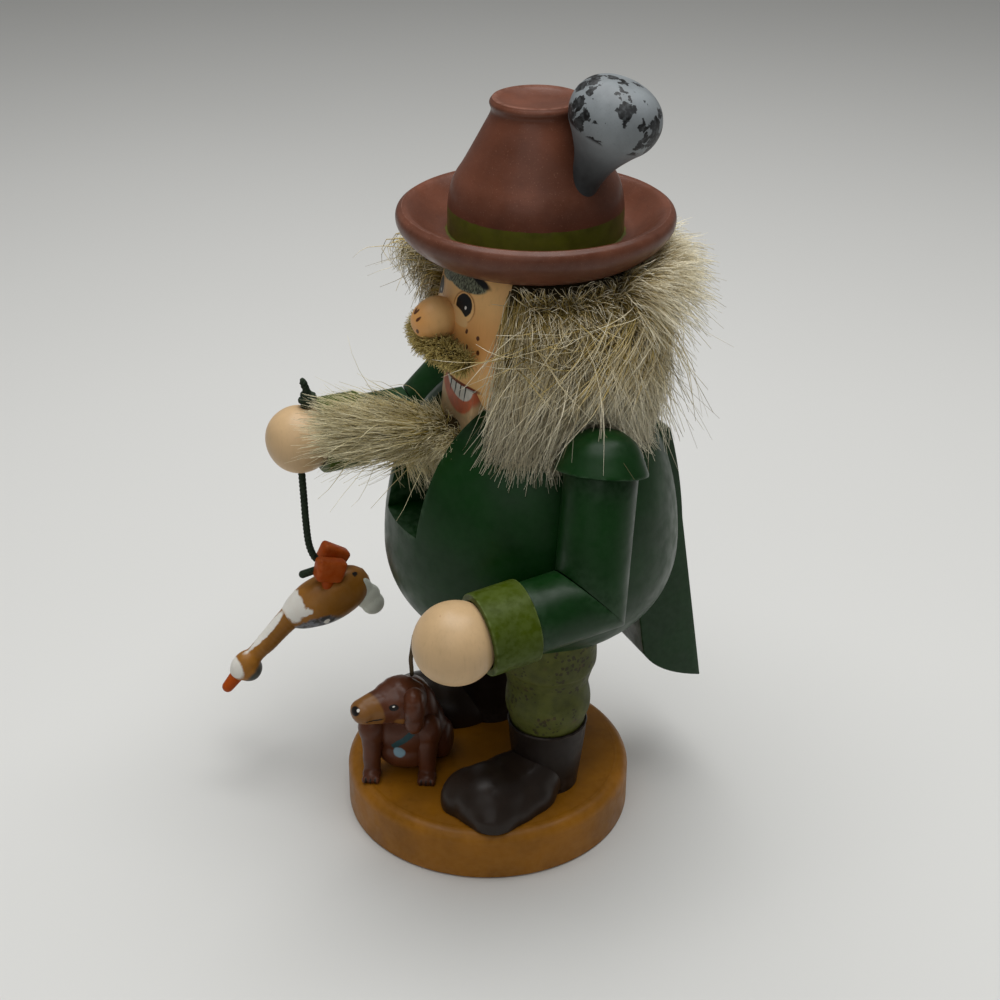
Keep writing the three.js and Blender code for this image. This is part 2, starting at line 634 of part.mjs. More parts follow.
piece("nose", noseForm(), fleshPaint);
head = head.subtract(solid(noseForm(GLUE_GAP)));

// Hat, with a dowel into the head and a turned brush pegged into the crown
const hat = new THREE.Group();
hat.position.set(0, FIGURE_Y, hatSeat);
nutcracker.add(hat);

function hatForm() {
  const brim = smoothOutline([
    [BRIM_SEAT_RADIUS, 0],
    [BRIM_BEND_RADIUS, BRIM_BEND],
    [BRIM_RADIUS, BRIM_WIDEST],
    [BRIM_RADIUS - BRIM_LIP, BRIM_CREST],
    [BRIM_RADIUS - BRIM_LIP - BRIM_ROLL, BRIM_CREST - BRIM_LIP / 2],
    [GUTTER_RADIUS, CROWN_FOOT],
    [CROWN_RADIUS, CROWN_FOOT],
  ]);
  const crown = smoothOutline([
    [CROWN_RADIUS, CROWN_BELLY],
    CROWN_CHEST,
    CROWN_SHOULDER,
    CROWN_NECK,
    [CROWN_WAIST_RADIUS, CROWN_WAIST],
    [CROWN_LIP_RADIUS, CROWN_LIP],
    [CROWN_LIP_RADIUS - CROWN_RIM, CROWN_TOP],
  ]);
  const ends = [new THREE.Vector2(0, 0), new THREE.Vector2(0, CROWN_TOP - CROWN_DISH)];
  return turned([ends[0], ...brim, ...crown, ends[1]], FINE);
}

function brushForm(grow = 0) {
  const start = -BRUSH_PEG_LENGTH - grow;
  const ball = BRUSH_BALL_RADIUS + grow;
  const cap = BRUSH_BALL_HEIGHT + grow;
  const outline = smoothOutline([
    [BRUSH_STEM_RADIUS + grow, start],
    [BRUSH_STEM_RADIUS + grow, 0],
    [BRUSH_WAIST_RADIUS + grow, BRUSH_WAIST],
    [ball * 0.78, BRUSH_LENGTH - ball * 0.6],
    [ball, BRUSH_LENGTH],
    [ball * 0.75, BRUSH_LENGTH + cap * 0.66],
    [0, BRUSH_LENGTH + cap],
  ]);
  const [x, y] = [Math.cos(BRUSH_BEARING), Math.sin(BRUSH_BEARING)];
  const root = at(BRUSH_ROOT_RADIUS * x, BRUSH_ROOT_RADIUS * y, BRUSH_ROOT_RISE);
  return aimed(turned([new THREE.Vector2(0, start), ...outline], COARSE), root, BRUSH_LEAN);
}

const hatDowelFoot = at(0, 0, -HAT_DOWEL_DEPTH);
const hatDowelTop = at(0, 0, HAT_DOWEL_DEPTH);
const hatBoreRadius = HAT_DOWEL_RADIUS + DOWEL_CLEARANCE;
const hatBoreEnd = UP.clone().multiplyScalar(DOWEL_CLEARANCE);
const hatBore = dowelRod(
  hatDowelFoot.clone().sub(hatBoreEnd),
  hatDowelTop.clone().add(hatBoreEnd),
  hatBoreRadius,
);
const brushRoom = solid(brushForm(GLUE_GAP));
piece("hat", solid(hatForm()).subtract(solid(hatBore)).subtract(brushRoom), hatBrown, hat);
piece("hat_brush", brushForm(), brushGrey, hat);
piece("hat_dowel", dowelRod(hatDowelFoot, hatDowelTop, HAT_DOWEL_RADIUS), bareWood, hat);
head = head.subtract(solid(hatBore.clone().translate(0, FIGURE_Y, hatSeat)));
piece("head", head, fleshPaint);

// Arms: two sleeves mitred at the elbow, a shoulder cap, a cuff and a ball for a hand
const shoulderCaps = [];

function makeArm(side, shoulder, elbow, hand, handRadius, handBore) {
  const upperWay = shoulder.clone().sub(elbow).normalize();
  const foreWay = hand.clone().sub(elbow).normalize();
  const mitre = upperWay.clone().sub(foreWay).normalize();
  const spare = 2 * SLEEVE_RADIUS;
  const past = (way) => elbow.clone().addScaledVector(way, -spare);
  const upperSide = behindPlane(elbow.clone().addScaledVector(mitre, GLUE_GAP / 2), mitre);
  const foreSide = behindPlane(
    elbow.clone().addScaledVector(mitre, -GLUE_GAP / 2),
    mitre.clone().negate(),
  );
  const sleeveTop = shoulder.clone().addScaledVector(upperWay, -GLUE_GAP);
  let upper = solid(rod(past(upperWay), sleeveTop, SLEEVE_RADIUS)).subtract(upperSide);
  upper = upper.subtract(coatGrown);

  const handReach = Math.sqrt(handRadius * handRadius - Math.pow(handRadius - HAND_IN_CUFF, 2));
  const cuffMouth = hand.clone().addScaledVector(foreWay, -(handRadius - HAND_IN_CUFF));
  const cuffBack = cuffMouth.clone().addScaledVector(foreWay, -CUFF_LENGTH);
  const foreEnd = cuffBack.clone().addScaledVector(foreWay, -GLUE_GAP);
  let fore = solid(rod(past(foreWay), foreEnd, SLEEVE_RADIUS)).subtract(foreSide);
  fore = fore.subtract(coatGrown);
  const cupRadius = handReach + GLUE_GAP;
  const cup = rod(
    cuffMouth.clone().addScaledVector(foreWay, -HAND_IN_CUFF - GLUE_GAP),
    cuffMouth.clone().addScaledVector(foreWay, 1),
    cupRadius,
  );
  let cuff = solid(rod(cuffBack, cuffMouth, CUFF_RADIUS)).subtract(solid(cup));

  const wristEnd = hand.clone().addScaledVector(foreWay, -WRIST_DOWEL_LENGTH);
  const wristFront = hand.clone().addScaledVector(foreWay, -handRadius / 2);
  piece(`${side}_wrist_dowel`, dowelRod(wristEnd, wristFront, ARM_DOWEL_RADIUS), bareWood);
  const boreRadius = ARM_DOWEL_RADIUS + DOWEL_CLEARANCE;
  const wristBore = solid(
    dowelRod(
      wristEnd.clone().addScaledVector(foreWay, -DOWEL_CLEARANCE),
      wristFront.clone().addScaledVector(foreWay, DOWEL_CLEARANCE),
      boreRadius,
    ),
  );
  let ball = solid(ellipsoid(hand, at(handRadius, handRadius, handRadius), MEDIUM));
  ball = ball.subtract(wristBore);
  if (handBore) ball = ball.subtract(handBore);
  fore = fore.subtract(wristBore);
  cuff = cuff.subtract(wristBore);

  const middle = shoulder.clone().lerp(elbow, 0.5);
  const inward = at(-middle.x, FIGURE_Y - middle.y, 0).normalize();
  const dowelEnd = middle.clone().addScaledVector(inward, SHOULDER_DOWEL_LENGTH);
  piece(`${side}_shoulder_dowel`, dowelRod(middle, dowelEnd, ARM_DOWEL_RADIUS), bareWood);
  const shoulderBore = solid(
    dowelRod(
      middle.clone().addScaledVector(inward, -DOWEL_CLEARANCE),
      dowelEnd.clone().addScaledVector(inward, DOWEL_CLEARANCE),
      boreRadius,
    ),
  );
  upper = upper.subtract(shoulderBore);
  coat = coat.subtract(shoulderBore);

  const capOf = (grow) => {
    const dome = new THREE.Path();
    dome.moveTo(0, -grow).lineTo(SHOULDER_RADIUS + grow, -grow);
    dome.absellipse(0, 0, SHOULDER_RADIUS + grow, SHOULDER_HEIGHT + grow, 0, Math.PI / 2);
    return solid(aimed(turned(dome.getPoints(ARC_STEPS), COARSE), shoulder, upperWay));
  };
  shoulderCaps.push(capOf(FUR_GAP));
  piece(`${side}_shoulder_cap`, capOf(0).subtract(coatGrown), coatGreen);
  piece(`${side}_upper_sleeve`, upper, coatGreen);
  piece(`${side}_forearm_sleeve`, fore, coatGreen);
  piece(`${side}_cuff`, cuff, cuffGreen);
  piece(`${side}_hand`, ball, fleshPaint);
}

// The place of an arm's point beside the coat: its height, how far forward of the axis, and its stand-off.
function besideCoat(sign, rise, forward, standOff) {
  const z = coatWidest + rise;
  const reach = coatRadius(z) + standOff;
  return at(sign * Math.sqrt(reach * reach - forward * forward), FIGURE_Y - forward, z);
}

const leftElbow = besideCoat(1, LEFT_ELBOW_RISE, LEFT_ELBOW_FORWARD, ELBOW_STAND_OFF);
const leftWay = at(0, -Math.cos(LEFT_FOREARM_DROP), -Math.sin(LEFT_FOREARM_DROP));
const leftHand = leftElbow.clone().addScaledVector(leftWay, LEFT_FOREARM);
const leftShoulder = besideCoat(1, LEFT_SHOULDER_RISE, 0, SHOULDER_STAND_OFF);
makeArm("left", leftShoulder, leftElbow, leftHand, LEFT_HAND_RADIUS);

const rightElbow = besideCoat(-1, RIGHT_ELBOW_RISE, RIGHT_ELBOW_FORWARD, SLEEVE_RADIUS);
const rightHand = rightElbow.clone().add(at(0, -RIGHT_FOREARM, 0));
const cordBore = solid(
  dowelRod(
    rightHand.clone().addScaledVector(UP, -2 * RIGHT_HAND_RADIUS),
    rightHand.clone().addScaledVector(UP, 2 * RIGHT_HAND_RADIUS),
    CORD_BORE_RADIUS,
  ),
);
const rightShoulder = besideCoat(-1, RIGHT_SHOULDER_RISE, 0, SHOULDER_STAND_OFF);
makeArm("right", rightShoulder, rightElbow, rightHand, RIGHT_HAND_RADIUS, cordBore);
piece("coat_body", coat, coatGreen);

// Fur: plain solids of its outer shape
const hairTop = hatSeat - FUR_GAP;
const hairFoot = hairTop - HAIR_LENGTH;
const hairBelly = hairFoot + HAIR_LENGTH / 3;
const headWidest = neckZ + HEAD_WIDEST_RISE;
const hairBrow = (hairTop + headWidest) / 2;
const scalp = (z) => headRadius(z) + 2 * FUR_GAP;
const nape = headRadius(neckZ) + 2 * FUR_GAP;
const hairRing = turned(
  profileOf([
    [scalp(hairTop), hairTop],
    [scalp(hairBrow), hairBrow],
    [scalp(headWidest), headWidest],
    [scalp(headWidest), neckZ],
    [Math.max(HAIR_RADIUS - HAIR_THICKNESS, nape), hairFoot],
    [HAIR_RADIUS, hairBelly],
    [HAIR_RADIUS, headWidest],
    [HAIR_TOP_RADIUS, hairTop],
    [scalp(hairTop), hairTop],
  ]),
).translate(0, FIGURE_Y, 0);
const faceSide = new THREE.Shape();
const faceHalf = 2 * HAIR_RADIUS * Math.sin(HAIR_FRONT_ANGLE);
const faceFront = FIGURE_Y - 2 * HAIR_RADIUS * Math.cos(HAIR_FRONT_ANGLE);
faceSide.moveTo(0, FIGURE_Y).lineTo(-faceHalf, faceFront).lineTo(faceHalf, faceFront);
const faceOpening = solid(new THREE.ExtrudeGeometry(faceSide, { depth: SPAN, bevelEnabled: false }));
const partingHalf = slotWidth / 2 + HAIR_PARTING;
const partingTop = at(partingHalf, SPAN, neckZ + HAIR_PARTING_RISE);
const parting = solid(block(at(-partingHalf, FIGURE_Y, 0), partingTop));
let hair = solid(hairRing).subtract(faceOpening).subtract(parting).subtract(coatGrown);
for (const cap of shoulderCaps) hair = hair.subtract(cap);
piece("hair", hair, fur);

const moustacheZ = neckZ + MOUSTACHE_RISE;
const moustachePlace = at(0, FIGURE_Y - headRadius(moustacheZ), moustacheZ);
const moustache = solid(ellipsoid(moustachePlace, MOUSTACHE_RADII)).subtract(headGrown);
piece("moustache", moustache.subtract(solid(noseForm(FUR_GAP))), fur);

// The beard's root follows the jaw's slanted front, a gap away from it.
const jawSlope = CHIN_PROUD / (teethTop - chinZ - CHIN_HEIGHT);
const jawFront = (z) => teethFront - jawSlope * (teethTop - z) - FUR_GAP;
const beardRootTop = neckZ - BEARD_DROP;
const beardRootFoot = beardRootTop - BEARD_ROOT;
const beardEnd = chinFront - BEARD_LENGTH;
const beardOutline = new THREE.Shape();
beardOutline.moveTo(jawFront(beardRootTop), beardRootTop).lineTo(jawFront(beardRootFoot), beardRootFoot);
beardOutline.lineTo(beardEnd, beardRootFoot + BEARD_LIFT);
beardOutline.lineTo(beardEnd, beardRootFoot + BEARD_LIFT + BEARD_TIP);
piece("beard", board(beardOutline, LEVER_WIDTH - 2 * BEARD_INSET), fur);

// Dog, between the figure's shoes, with its head turned to its right
const dog = new THREE.Group();
dog.position.set(DOG_X, DOG_Y, BASE_THICKNESS);
dog.rotation.z = DOG_TURN;
nutcracker.add(dog);

const dogFloor = behindPlane(at(0, 0, 0), UP);
const haunches = [-1, 1].map((sign) => {
  const middle = at(DOG_RUMP.x + sign * DOG_HAUNCH_SPREAD, DOG_RUMP.y, DOG_HAUNCH_RADII.z);
  return ellipsoid(middle, DOG_HAUNCH_RADII, DOWEL_SIDES);
});
const rump = ellipsoid(DOG_RUMP, DOG_RUMP_RADII);
const chest = ellipsoid(DOG_CHEST, DOG_CHEST_RADII);
let dogBody = joined([rump, chest, ...haunches]).subtract(dogFloor);

const evenly = (radius) => at(radius, radius, radius);
const grown = (radii, grow) => radii.clone().addScalar(grow);
const muzzleEnd = DOG_SKULL.clone().addScaledVector(DOG_MUZZLE_WAY, DOG_MUZZLE_LENGTH);
const headLeft = UP.clone().cross(DOG_MUZZLE_WAY).normalize();

function dogHeadForm(grow = 0) {
  const skull = ellipsoid(DOG_SKULL, evenly(DOG_SKULL_RADIUS + grow));
  const muzzle = rod(DOG_SKULL, muzzleEnd, DOG_MUZZLE_ROOT + grow, DOG_MUZZLE_TIP + grow);
  const tip = ellipsoid(muzzleEnd, evenly(DOG_MUZZLE_TIP + grow), DOWEL_SIDES);
  return joined([skull, muzzle, tip]);
}

function dogEarForm(sign, grow = 0) {
  const middle = DOG_SKULL.clone().addScaledVector(headLeft, sign * DOG_EAR_SPREAD);
  middle.addScaledVector(DOG_MUZZLE_WAY, -DOG_EAR_BACK).addScaledVector(UP, -DOG_EAR_DROP);
  return solid(ellipsoid(middle, grown(DOG_EAR_RADII, grow), DOWEL_SIDES));
}

function dogLegForm(sign, grow = 0) {
  const foot = at(sign * DOG_PAW_SPREAD, -DOG_PAW_FORWARD / 2, 0);
  const shoulder = at(sign * DOG_PAW_SPREAD, 0, DOG_SHOULDER_RISE);
  const shin = rod(foot, shoulder, DOG_LEG_RADIUS + grow, DOG_SHOULDER_RADIUS + grow, DOWEL_SIDES);
  const round = ellipsoid(shoulder, evenly(DOG_SHOULDER_RADIUS + grow), DOWEL_SIDES);
  const paw = ellipsoid(at(foot.x, -DOG_PAW_FORWARD, 0), grown(DOG_PAW_RADII, grow), DOWEL_SIDES);
  return joined([shin, round, paw]).subtract(dogFloor);
}

for (const [side, sign] of [["left", 1], ["right", -1]]) {
  const headRoom = dogHeadForm(GLUE_GAP);
  const legRoom = dogLegForm(sign, GLUE_GAP);
  dogBody = dogBody.subtract(legRoom).subtract(dogEarForm(sign, GLUE_GAP));
  piece(`dog_${side}_ear`, dogEarForm(sign).subtract(headRoom).subtract(legRoom), dogBrown, dog);
  piece(`dog_${side}_foreleg`, dogLegForm(sign).subtract(headRoom), dogBrown, dog);
}
piece("dog_head", dogHeadForm(), dogBrown, dog);
piece("dog_body", dogBody.subtract(dogHeadForm(GLUE_GAP)), dogBrown, dog);

const leashPoints = LEASH_ROUTE.map(([x, y, z]) => at(x, y, z));
piece("dog_leash", cord(leashPoints, LEASH_RADIUS), leashBrown);

// Goose: hung by its feet under the right hand, on a cord knotted on top of it
const mouthOfBore = rightHand.clone().addScaledVector(UP, -RIGHT_HAND_RADIUS - GLUE_GAP);
const topOfHand = RIGHT_HAND_RADIUS + GLUE_GAP;
const knot = turned(
  profileOf([
    [0, CORD_RADIUS - RIGHT_HAND_RADIUS],
    [CORD_RADIUS, CORD_RADIUS - RIGHT_HAND_RADIUS],
    [CORD_RADIUS, topOfHand],
    [KNOT_RADIUS * 0.8, topOfHand],
    [KNOT_RADIUS, topOfHand + KNOT_HEIGHT / 2],
    [KNOT_RADIUS * 0.8, topOfHand + KNOT_HEIGHT],
    [CORD_RADIUS, topOfHand + KNOT_HEIGHT],
    [CORD_RADIUS, topOfHand + KNOT_TAIL],
    [0, topOfHand + KNOT_TAIL],
  ]),
  DOWEL_SIDES,
);
piece("cord_knot", knot.translate(rightHand.x, rightHand.y, rightHand.z), cordGreen);

const cordPoints = GOOSE_CORD_ROUTE.map(([x, y, z]) => mouthOfBore.clone().add(at(x, y, z)));
piece("goose_cord", cord(cordPoints, CORD_RADIUS), cordGreen);

const goose = new THREE.Group();
goose.position.copy(cordPoints[cordPoints.length - 1]);
nutcracker.add(goose);

const gooseWay = at(0, -Math.cos(GOOSE_TILT), -Math.sin(GOOSE_TILT));

function gooseBodyForm(grow = 0) {
  const radii = at(GOOSE_RADIUS + grow, GOOSE_RADIUS + grow, GOOSE_LENGTH / 2 + grow);
  return solid(aimed(ellipsoid(at(0, 0, 0), radii), GOOSE_MIDDLE, gooseWay));
}

const neckRoot = GOOSE_MIDDLE.clone().addScaledVector(gooseWay, GOOSE_NECK_ROOT);
const gooseHead = neckRoot.clone().addScaledVector(GOOSE_NECK_WAY, GOOSE_NECK_LENGTH);

function gooseNeckForm(grow = 0) {
  const neck = rod(neckRoot, gooseHead, GOOSE_NECK_RADIUS + grow, GOOSE_THROAT_RADIUS + grow);
  const egg = ellipsoid(at(0, 0, 0), grown(GOOSE_HEAD_RADII, grow));
  return joined([neck, aimed(egg, gooseHead, GOOSE_NECK_WAY)]);
}

const beakRoot = gooseHead.clone().addScaledVector(BEAK_WAY, BEAK_INSET);
const beakTip = beakRoot.clone().addScaledVector(BEAK_WAY, BEAK_LENGTH);
const beak = solid(rod(beakRoot, beakTip, BEAK_ROOT_RADIUS, BEAK_TIP_RADIUS, DOWEL_SIDES));
const bodyRoom = gooseBodyForm(GLUE_GAP);
piece("goose_body", gooseBodyForm(), gooseTan, goose);
piece("goose_neck", gooseNeckForm().subtract(bodyRoom), gooseTan, goose);
piece("goose_beak", beak.subtract(gooseNeckForm(GLUE_GAP)), gooseOrange, goose);

const tailPlace = GOOSE_MIDDLE.clone().add(GOOSE_TAIL_PLACE);
const gooseTail = solid(aimed(ellipsoid(at(0, 0, 0), GOOSE_TAIL_RADII), tailPlace, GOOSE_TAIL_WAY));
piece("goose_tail", gooseTail.subtract(bodyRoom), gooseGrey, goose);

for (const [side, sign] of [["left", 1], ["right", -1]]) {
  const aside = at(sign * GOOSE_FOOT_SPREAD, -sign * GOOSE_FOOT_STAGGER, 0);
  const root = GOOSE_LEG_ROOT.clone().add(aside);
  const end = GOOSE_FOOT_END.clone().add(aside);
  const foot = rod(root, end, GOOSE_LEG_RADIUS, GOOSE_FOOT_RADIUS, DOWEL_SIDES);
  piece(`goose_${side}_foot`, solid(foot).subtract(bodyRoom), gooseOrange, goose);
}

export default nutcracker;
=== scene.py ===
import math

import bmesh
import bpy
import numpy as np
from mathutils import Matrix, Vector, noise


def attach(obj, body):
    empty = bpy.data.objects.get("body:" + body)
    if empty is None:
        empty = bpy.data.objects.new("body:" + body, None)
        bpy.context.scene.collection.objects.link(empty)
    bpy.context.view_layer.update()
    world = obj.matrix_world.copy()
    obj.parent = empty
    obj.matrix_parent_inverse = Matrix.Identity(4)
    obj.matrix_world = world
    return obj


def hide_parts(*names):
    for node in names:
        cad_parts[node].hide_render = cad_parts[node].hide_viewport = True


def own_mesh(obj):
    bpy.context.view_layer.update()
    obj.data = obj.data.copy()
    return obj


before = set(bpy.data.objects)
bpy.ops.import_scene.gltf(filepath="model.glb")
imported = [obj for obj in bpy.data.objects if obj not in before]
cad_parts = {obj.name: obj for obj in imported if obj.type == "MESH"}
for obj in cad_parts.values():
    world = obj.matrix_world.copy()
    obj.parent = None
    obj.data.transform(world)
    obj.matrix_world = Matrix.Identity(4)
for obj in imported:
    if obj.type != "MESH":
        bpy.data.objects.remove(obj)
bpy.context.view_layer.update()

# Shapes are written in millimetres and become metres when a mesh is made.
MM = 0.001
TINY = 1e-6
UP = Vector((0, 0, 1))
SIDES = {"left": 1, "right": -1}

# Places and sizes shared with the construction
BASE_RADIUS = 47.5
BASE_THICKNESS = 17.0
AXIS_Y = 15.0
LEG_X = 22.5
LEG_Y = 11.0
TOE_OUT = 0.29
BOOT_TOP = 41.6
COAT_RADIUS = 47.2
COAT_WIDEST = 97.8
COAT_UPPER = 58.0
COAT_LOWER = 32.4
COAT_FULLNESS = 2.8
NECK_Z = 151.0
HEAD_RADIUS = 29.5
HEAD_WIDEST = 173.0
HEAD_BULGE = 39.4
HAT_BASE = 191.0
HAT_SEAT = 193.4
MOUTH_ROOF = 157.3
PIVOT_Y = 14.5
LEVER_WIDTH = 22.0
SLOT_WIDTH = 23.0
TEETH_TOP = 156.8
TEETH_FRONT = -10.2
CHIN_FRONT = -13.0
SLEEVE_RADIUS = 11.0
CUFF_RADIUS = 12.6
CUFF_LENGTH = 15.0
HAND_IN_CUFF = 5.0
ARMS = {
    "left": {
        "shoulder": (46.1, 15, 141.6),
        "elbow": (55, 7.8, 105.5),
        "hand": (55.03, -35.7, 101.1),
        "radius": 12.5,
    },
    "right": {
        "shoulder": (-47.6, 15, 139.5),
        "elbow": (-53.2, -1.5, 119.5),
        "hand": (-53.23, -44, 119.5),
        "radius": 11.3,
    },
}
CORD_RADIUS = 1.3
CORD_TOP = Vector((-53.23, -44, 107.9))
CORD_ROUTE = [(0, 0, 0), (0, 0.3, -10), (0, 0.6, -20), (0, 1.2, -28), (0, 2.6, -33), (0, 4.4, -36)]
LEASH_RADIUS = 0.7
LEASH_ROUTE = [
    (44.6, -44.1, 100),
    (32.6, -40, 87.4),
    (20.6, -35.8, 75.2),
    (9.4, -31.2, 64.2),
    (-1.6, -26.7, 53.3),
]


def coat_radius(z):
    half = COAT_UPPER if z > COAT_WIDEST else COAT_LOWER
    rise = min(1.0, abs(z - COAT_WIDEST) / half)
    return COAT_RADIUS * (1 - rise * rise) ** (1 / COAT_FULLNESS)


def head_radius(z):
    """The head's radius at one height or at an array of heights."""
    rise = (z - HEAD_WIDEST) / HEAD_BULGE
    return HEAD_RADIUS * np.sqrt(np.clip(1 - rise * rise, 0, 1))


def linked(name, data):
    """A new object in the scene that holds the given data."""
    made = bpy.data.objects.new(name, data)
    bpy.context.collection.objects.link(made)
    return made


# Camera at the photograph's angle
CAMERA_AZIMUTH = math.radians(65)
CAMERA_PITCH = 0.49287
CAMERA_ROLL = 0.00631
CAMERA_BACK = 507.25
CAMERA_RISE = 385.58
CAMERA_ASIDE = 3.563
FOCAL_PIXELS = 1821.12
IMAGE_PIXELS = 1000
SENSOR_MM = 36.0
NEAR_CLIP_M = 0.01


def make_camera():
    right = Vector((math.cos(CAMERA_AZIMUTH), math.sin(CAMERA_AZIMUTH), 0))
    ahead = Vector((-math.sin(CAMERA_AZIMUTH), math.cos(CAMERA_AZIMUTH), 0))
    look = math.cos(CAMERA_PITCH) * ahead - math.sin(CAMERA_PITCH) * UP
    down = -math.sin(CAMERA_PITCH) * ahead - math.cos(CAMERA_PITCH) * UP
    across = math.cos(CAMERA_ROLL) * right - math.sin(CAMERA_ROLL) * down
    upward = -(math.sin(CAMERA_ROLL) * right + math.cos(CAMERA_ROLL) * down)
    stand = CAMERA_ASIDE * right - CAMERA_BACK * ahead + CAMERA_RISE * UP
    data = bpy.data.cameras.new("camera")
    data.sensor_width = SENSOR_MM
    data.lens = FOCAL_PIXELS / IMAGE_PIXELS * SENSOR_MM
    data.clip_start = NEAR_CLIP_M
    camera = linked("camera", data)
    turn = Matrix((across, upward, -look)).transposed().to_4x4()
    camera.matrix_world = Matrix.Translation(stand * MM) @ turn
    bpy.context.scene.camera = camera


make_camera()


# Mesh tools
BEVEL_ANGLE = math.radians(35)
CARVE_MIDDLE = 0.4
CARVE_LIMIT = 0.6
EDGE_GAIN = 3.0
CORD_SIDES = 18
CORD_STRANDS = 3


def mesh_piece(name, points, faces):
    """A mesh object from points in millimetres."""
    mesh = bpy.data.meshes.new(name)
    mesh.from_pydata((np.asarray(points, float) * MM).tolist(), [], faces)
    mesh.update()
    return linked(name, mesh)


def shape_piece(name, shape):
    """A mesh object from an edit mesh that is in metres."""
    mesh = bpy.data.meshes.new(name)
    shape.to_mesh(mesh)
    shape.free()
    return linked(name, mesh)


def tube_faces(rings, sides):
    """The faces of a closed tube whose points run ring by ring."""
    faces = []
    for low in range(0, (rings - 1) * sides, sides):
        high = low + sides
        for i in range(sides):
            j = (i + 1) % sides
            faces.append([low + i, low + j, high + j, high + i])
    return [*faces, list(range(sides))[::-1], list(range((rings - 1) * sides, rings * sides))]


def apply_modifiers(piece):
    graph = bpy.context.evaluated_depsgraph_get()
    made = bpy.data.meshes.new_from_object(piece.evaluated_get(graph))
    piece.modifiers.clear()
    old = piece.data
    piece.data = made
    made.name = piece.name
    bpy.data.meshes.remove(old)


def soften(piece, angle=40):
    """Smooth shading, with edges sharper than the angle kept crisp."""
    piece.data.shade_smooth()
    piece.data.set_sharp_from_angle(angle=math.radians(angle))
    return piece


def bevel(piece, width, segments):
    change = piece.modifiers.new("bevel", "BEVEL")
    change.width = width * MM
    change.segments = segments
    change.limit_method = "ANGLE"
    change.angle_limit = BEVEL_ANGLE
    apply_modifiers(piece)
    return piece


def combine(piece, other, operation, angle):
    """Cuts the other piece out of this one, or joins it on, and shades the result."""
    change = piece.modifiers.new("combine", "BOOLEAN")
    change.operation = operation
    change.solver = "EXACT"
    change.object = other
    apply_modifiers(piece)
    bpy.data.objects.remove(other)
    return soften(piece, angle)


def spline(points, steps=8):
    """Points along a smooth curve through the given ones."""
    given = [np.asarray(p, float) for p in points]
    ends = [2 * given[0] - given[1], *given, 2 * given[-1] - given[-2]]
    made = []
    for a, b, c, d in zip(ends, ends[1:], ends[2:], ends[3:]):
        for t in np.arange(steps) / steps:
            bend = 2 * a - 5 * b + 4 * c - d
            made.append(0.5 * (2 * b + (c - a) * t + bend * t**2 + (3 * b - a - 3 * c + d) * t**3))
    made.append(given[-1])
    return np.array(made)


def arc(centre, radius, start, end, steps):
    """Profile points on a round corner, with angles in degrees."""
    angles = np.radians(np.linspace(start, end, steps + 1))
    return [(centre[0] + radius * math.cos(a), centre[1] + radius * math.sin(a)) for a in angles]


def lathe(name, profile, sides, foot=(0, 0, 0), way=(0, 0, 1)):
    """A turned piece: its profile runs from the axis at the foot to the axis at the top."""
    turn = UP.rotation_difference(Vector(way))
    foot = Vector(foot)
    points, rings, faces = [], [], []
    for radius, height in profile:
        count = 1 if radius < TINY else sides
        rings.append(range(len(points), len(points) + count))
        for i in range(count):
            angle = 2 * math.pi * i / sides
            spot = Vector((radius * math.cos(angle), radius * math.sin(angle), height))
            points.append(foot + turn @ spot)
    for low, high in zip(rings, rings[1:]):
        for i in range(sides):
            j = i + 1
            corners = [low[i % len(low)], low[j % len(low)], high[j % len(high)], high[i % len(high)]]
            face = list(dict.fromkeys(corners))
            if len(face) > 2:
                faces.append(face)
    return soften(mesh_piece(name, points, faces))


def board(name, outline, width, edge):
    """A side outline in (y, z), as wide along X as given, with its edges eased."""
    count = len(outline)
    points = [(x, y, z) for x in (-width / 2, width / 2) for y, z in outline]
    faces = [list(range(count))[::-1], list(range(count, 2 * count))]
    for i in range(count):
        j = (i + 1) % count
        faces.append([i, j, count + j, count + i])
    piece = mesh_piece(name, points, faces)
    shape = bmesh.new()
    shape.from_mesh(piece.data)
    bmesh.ops.recalc_face_normals(shape, faces=shape.faces)
    shape.to_mesh(piece.data)
    shape.free()
    if edge:
        bevel(piece, edge, 3)
    return soften(piece)


def lump(centre, radii, way=(0, 0, 1)):
    """An ellipsoid to melt into others: its centre, its radii and where its own Z points."""
    return (Vector(centre), Vector(radii), Vector(way))


def limb(start, end, start_radius, end_radius, count):
    """A row of balls that melt into a tapered limb."""
    start, end = Vector(start), Vector(end)
    row = []
    for t in np.linspace(0, 1, count):
        radius = start_radius + (end_radius - start_radius) * t
        row.append(lump(start.lerp(end, t), (radius, radius, radius)))
    return row


def blob(name, lumps, voxel, smooth, floor=None, frame_of=None):
    """Lumps melted into one closed skin, pressed flat at the floor and put in their frame."""
    shape = bmesh.new()
    for centre, radii, way in lumps:
        turn = UP.rotation_difference(way).to_matrix().to_4x4()
        fit = Matrix.Translation(centre * MM) @ turn @ Matrix.Diagonal((*(radii * MM), 1))
        bmesh.ops.create_icosphere(shape, subdivisions=4, radius=1, matrix=fit)
    piece = shape_piece(name, shape)
    melt = piece.modifiers.new("melt", "REMESH")
    melt.mode = "VOXEL"
    melt.voxel_size = voxel * MM
    relax = piece.modifiers.new("relax", "SMOOTH")
    relax.factor = 0.5
    relax.iterations = smooth
    apply_modifiers(piece)
    if floor is not None:
        for point in piece.data.vertices:
            point.co.z = max(point.co.z, floor * MM)
    if frame_of is not None:
        piece.data.transform(frame_of)
    return soften(piece, 70)


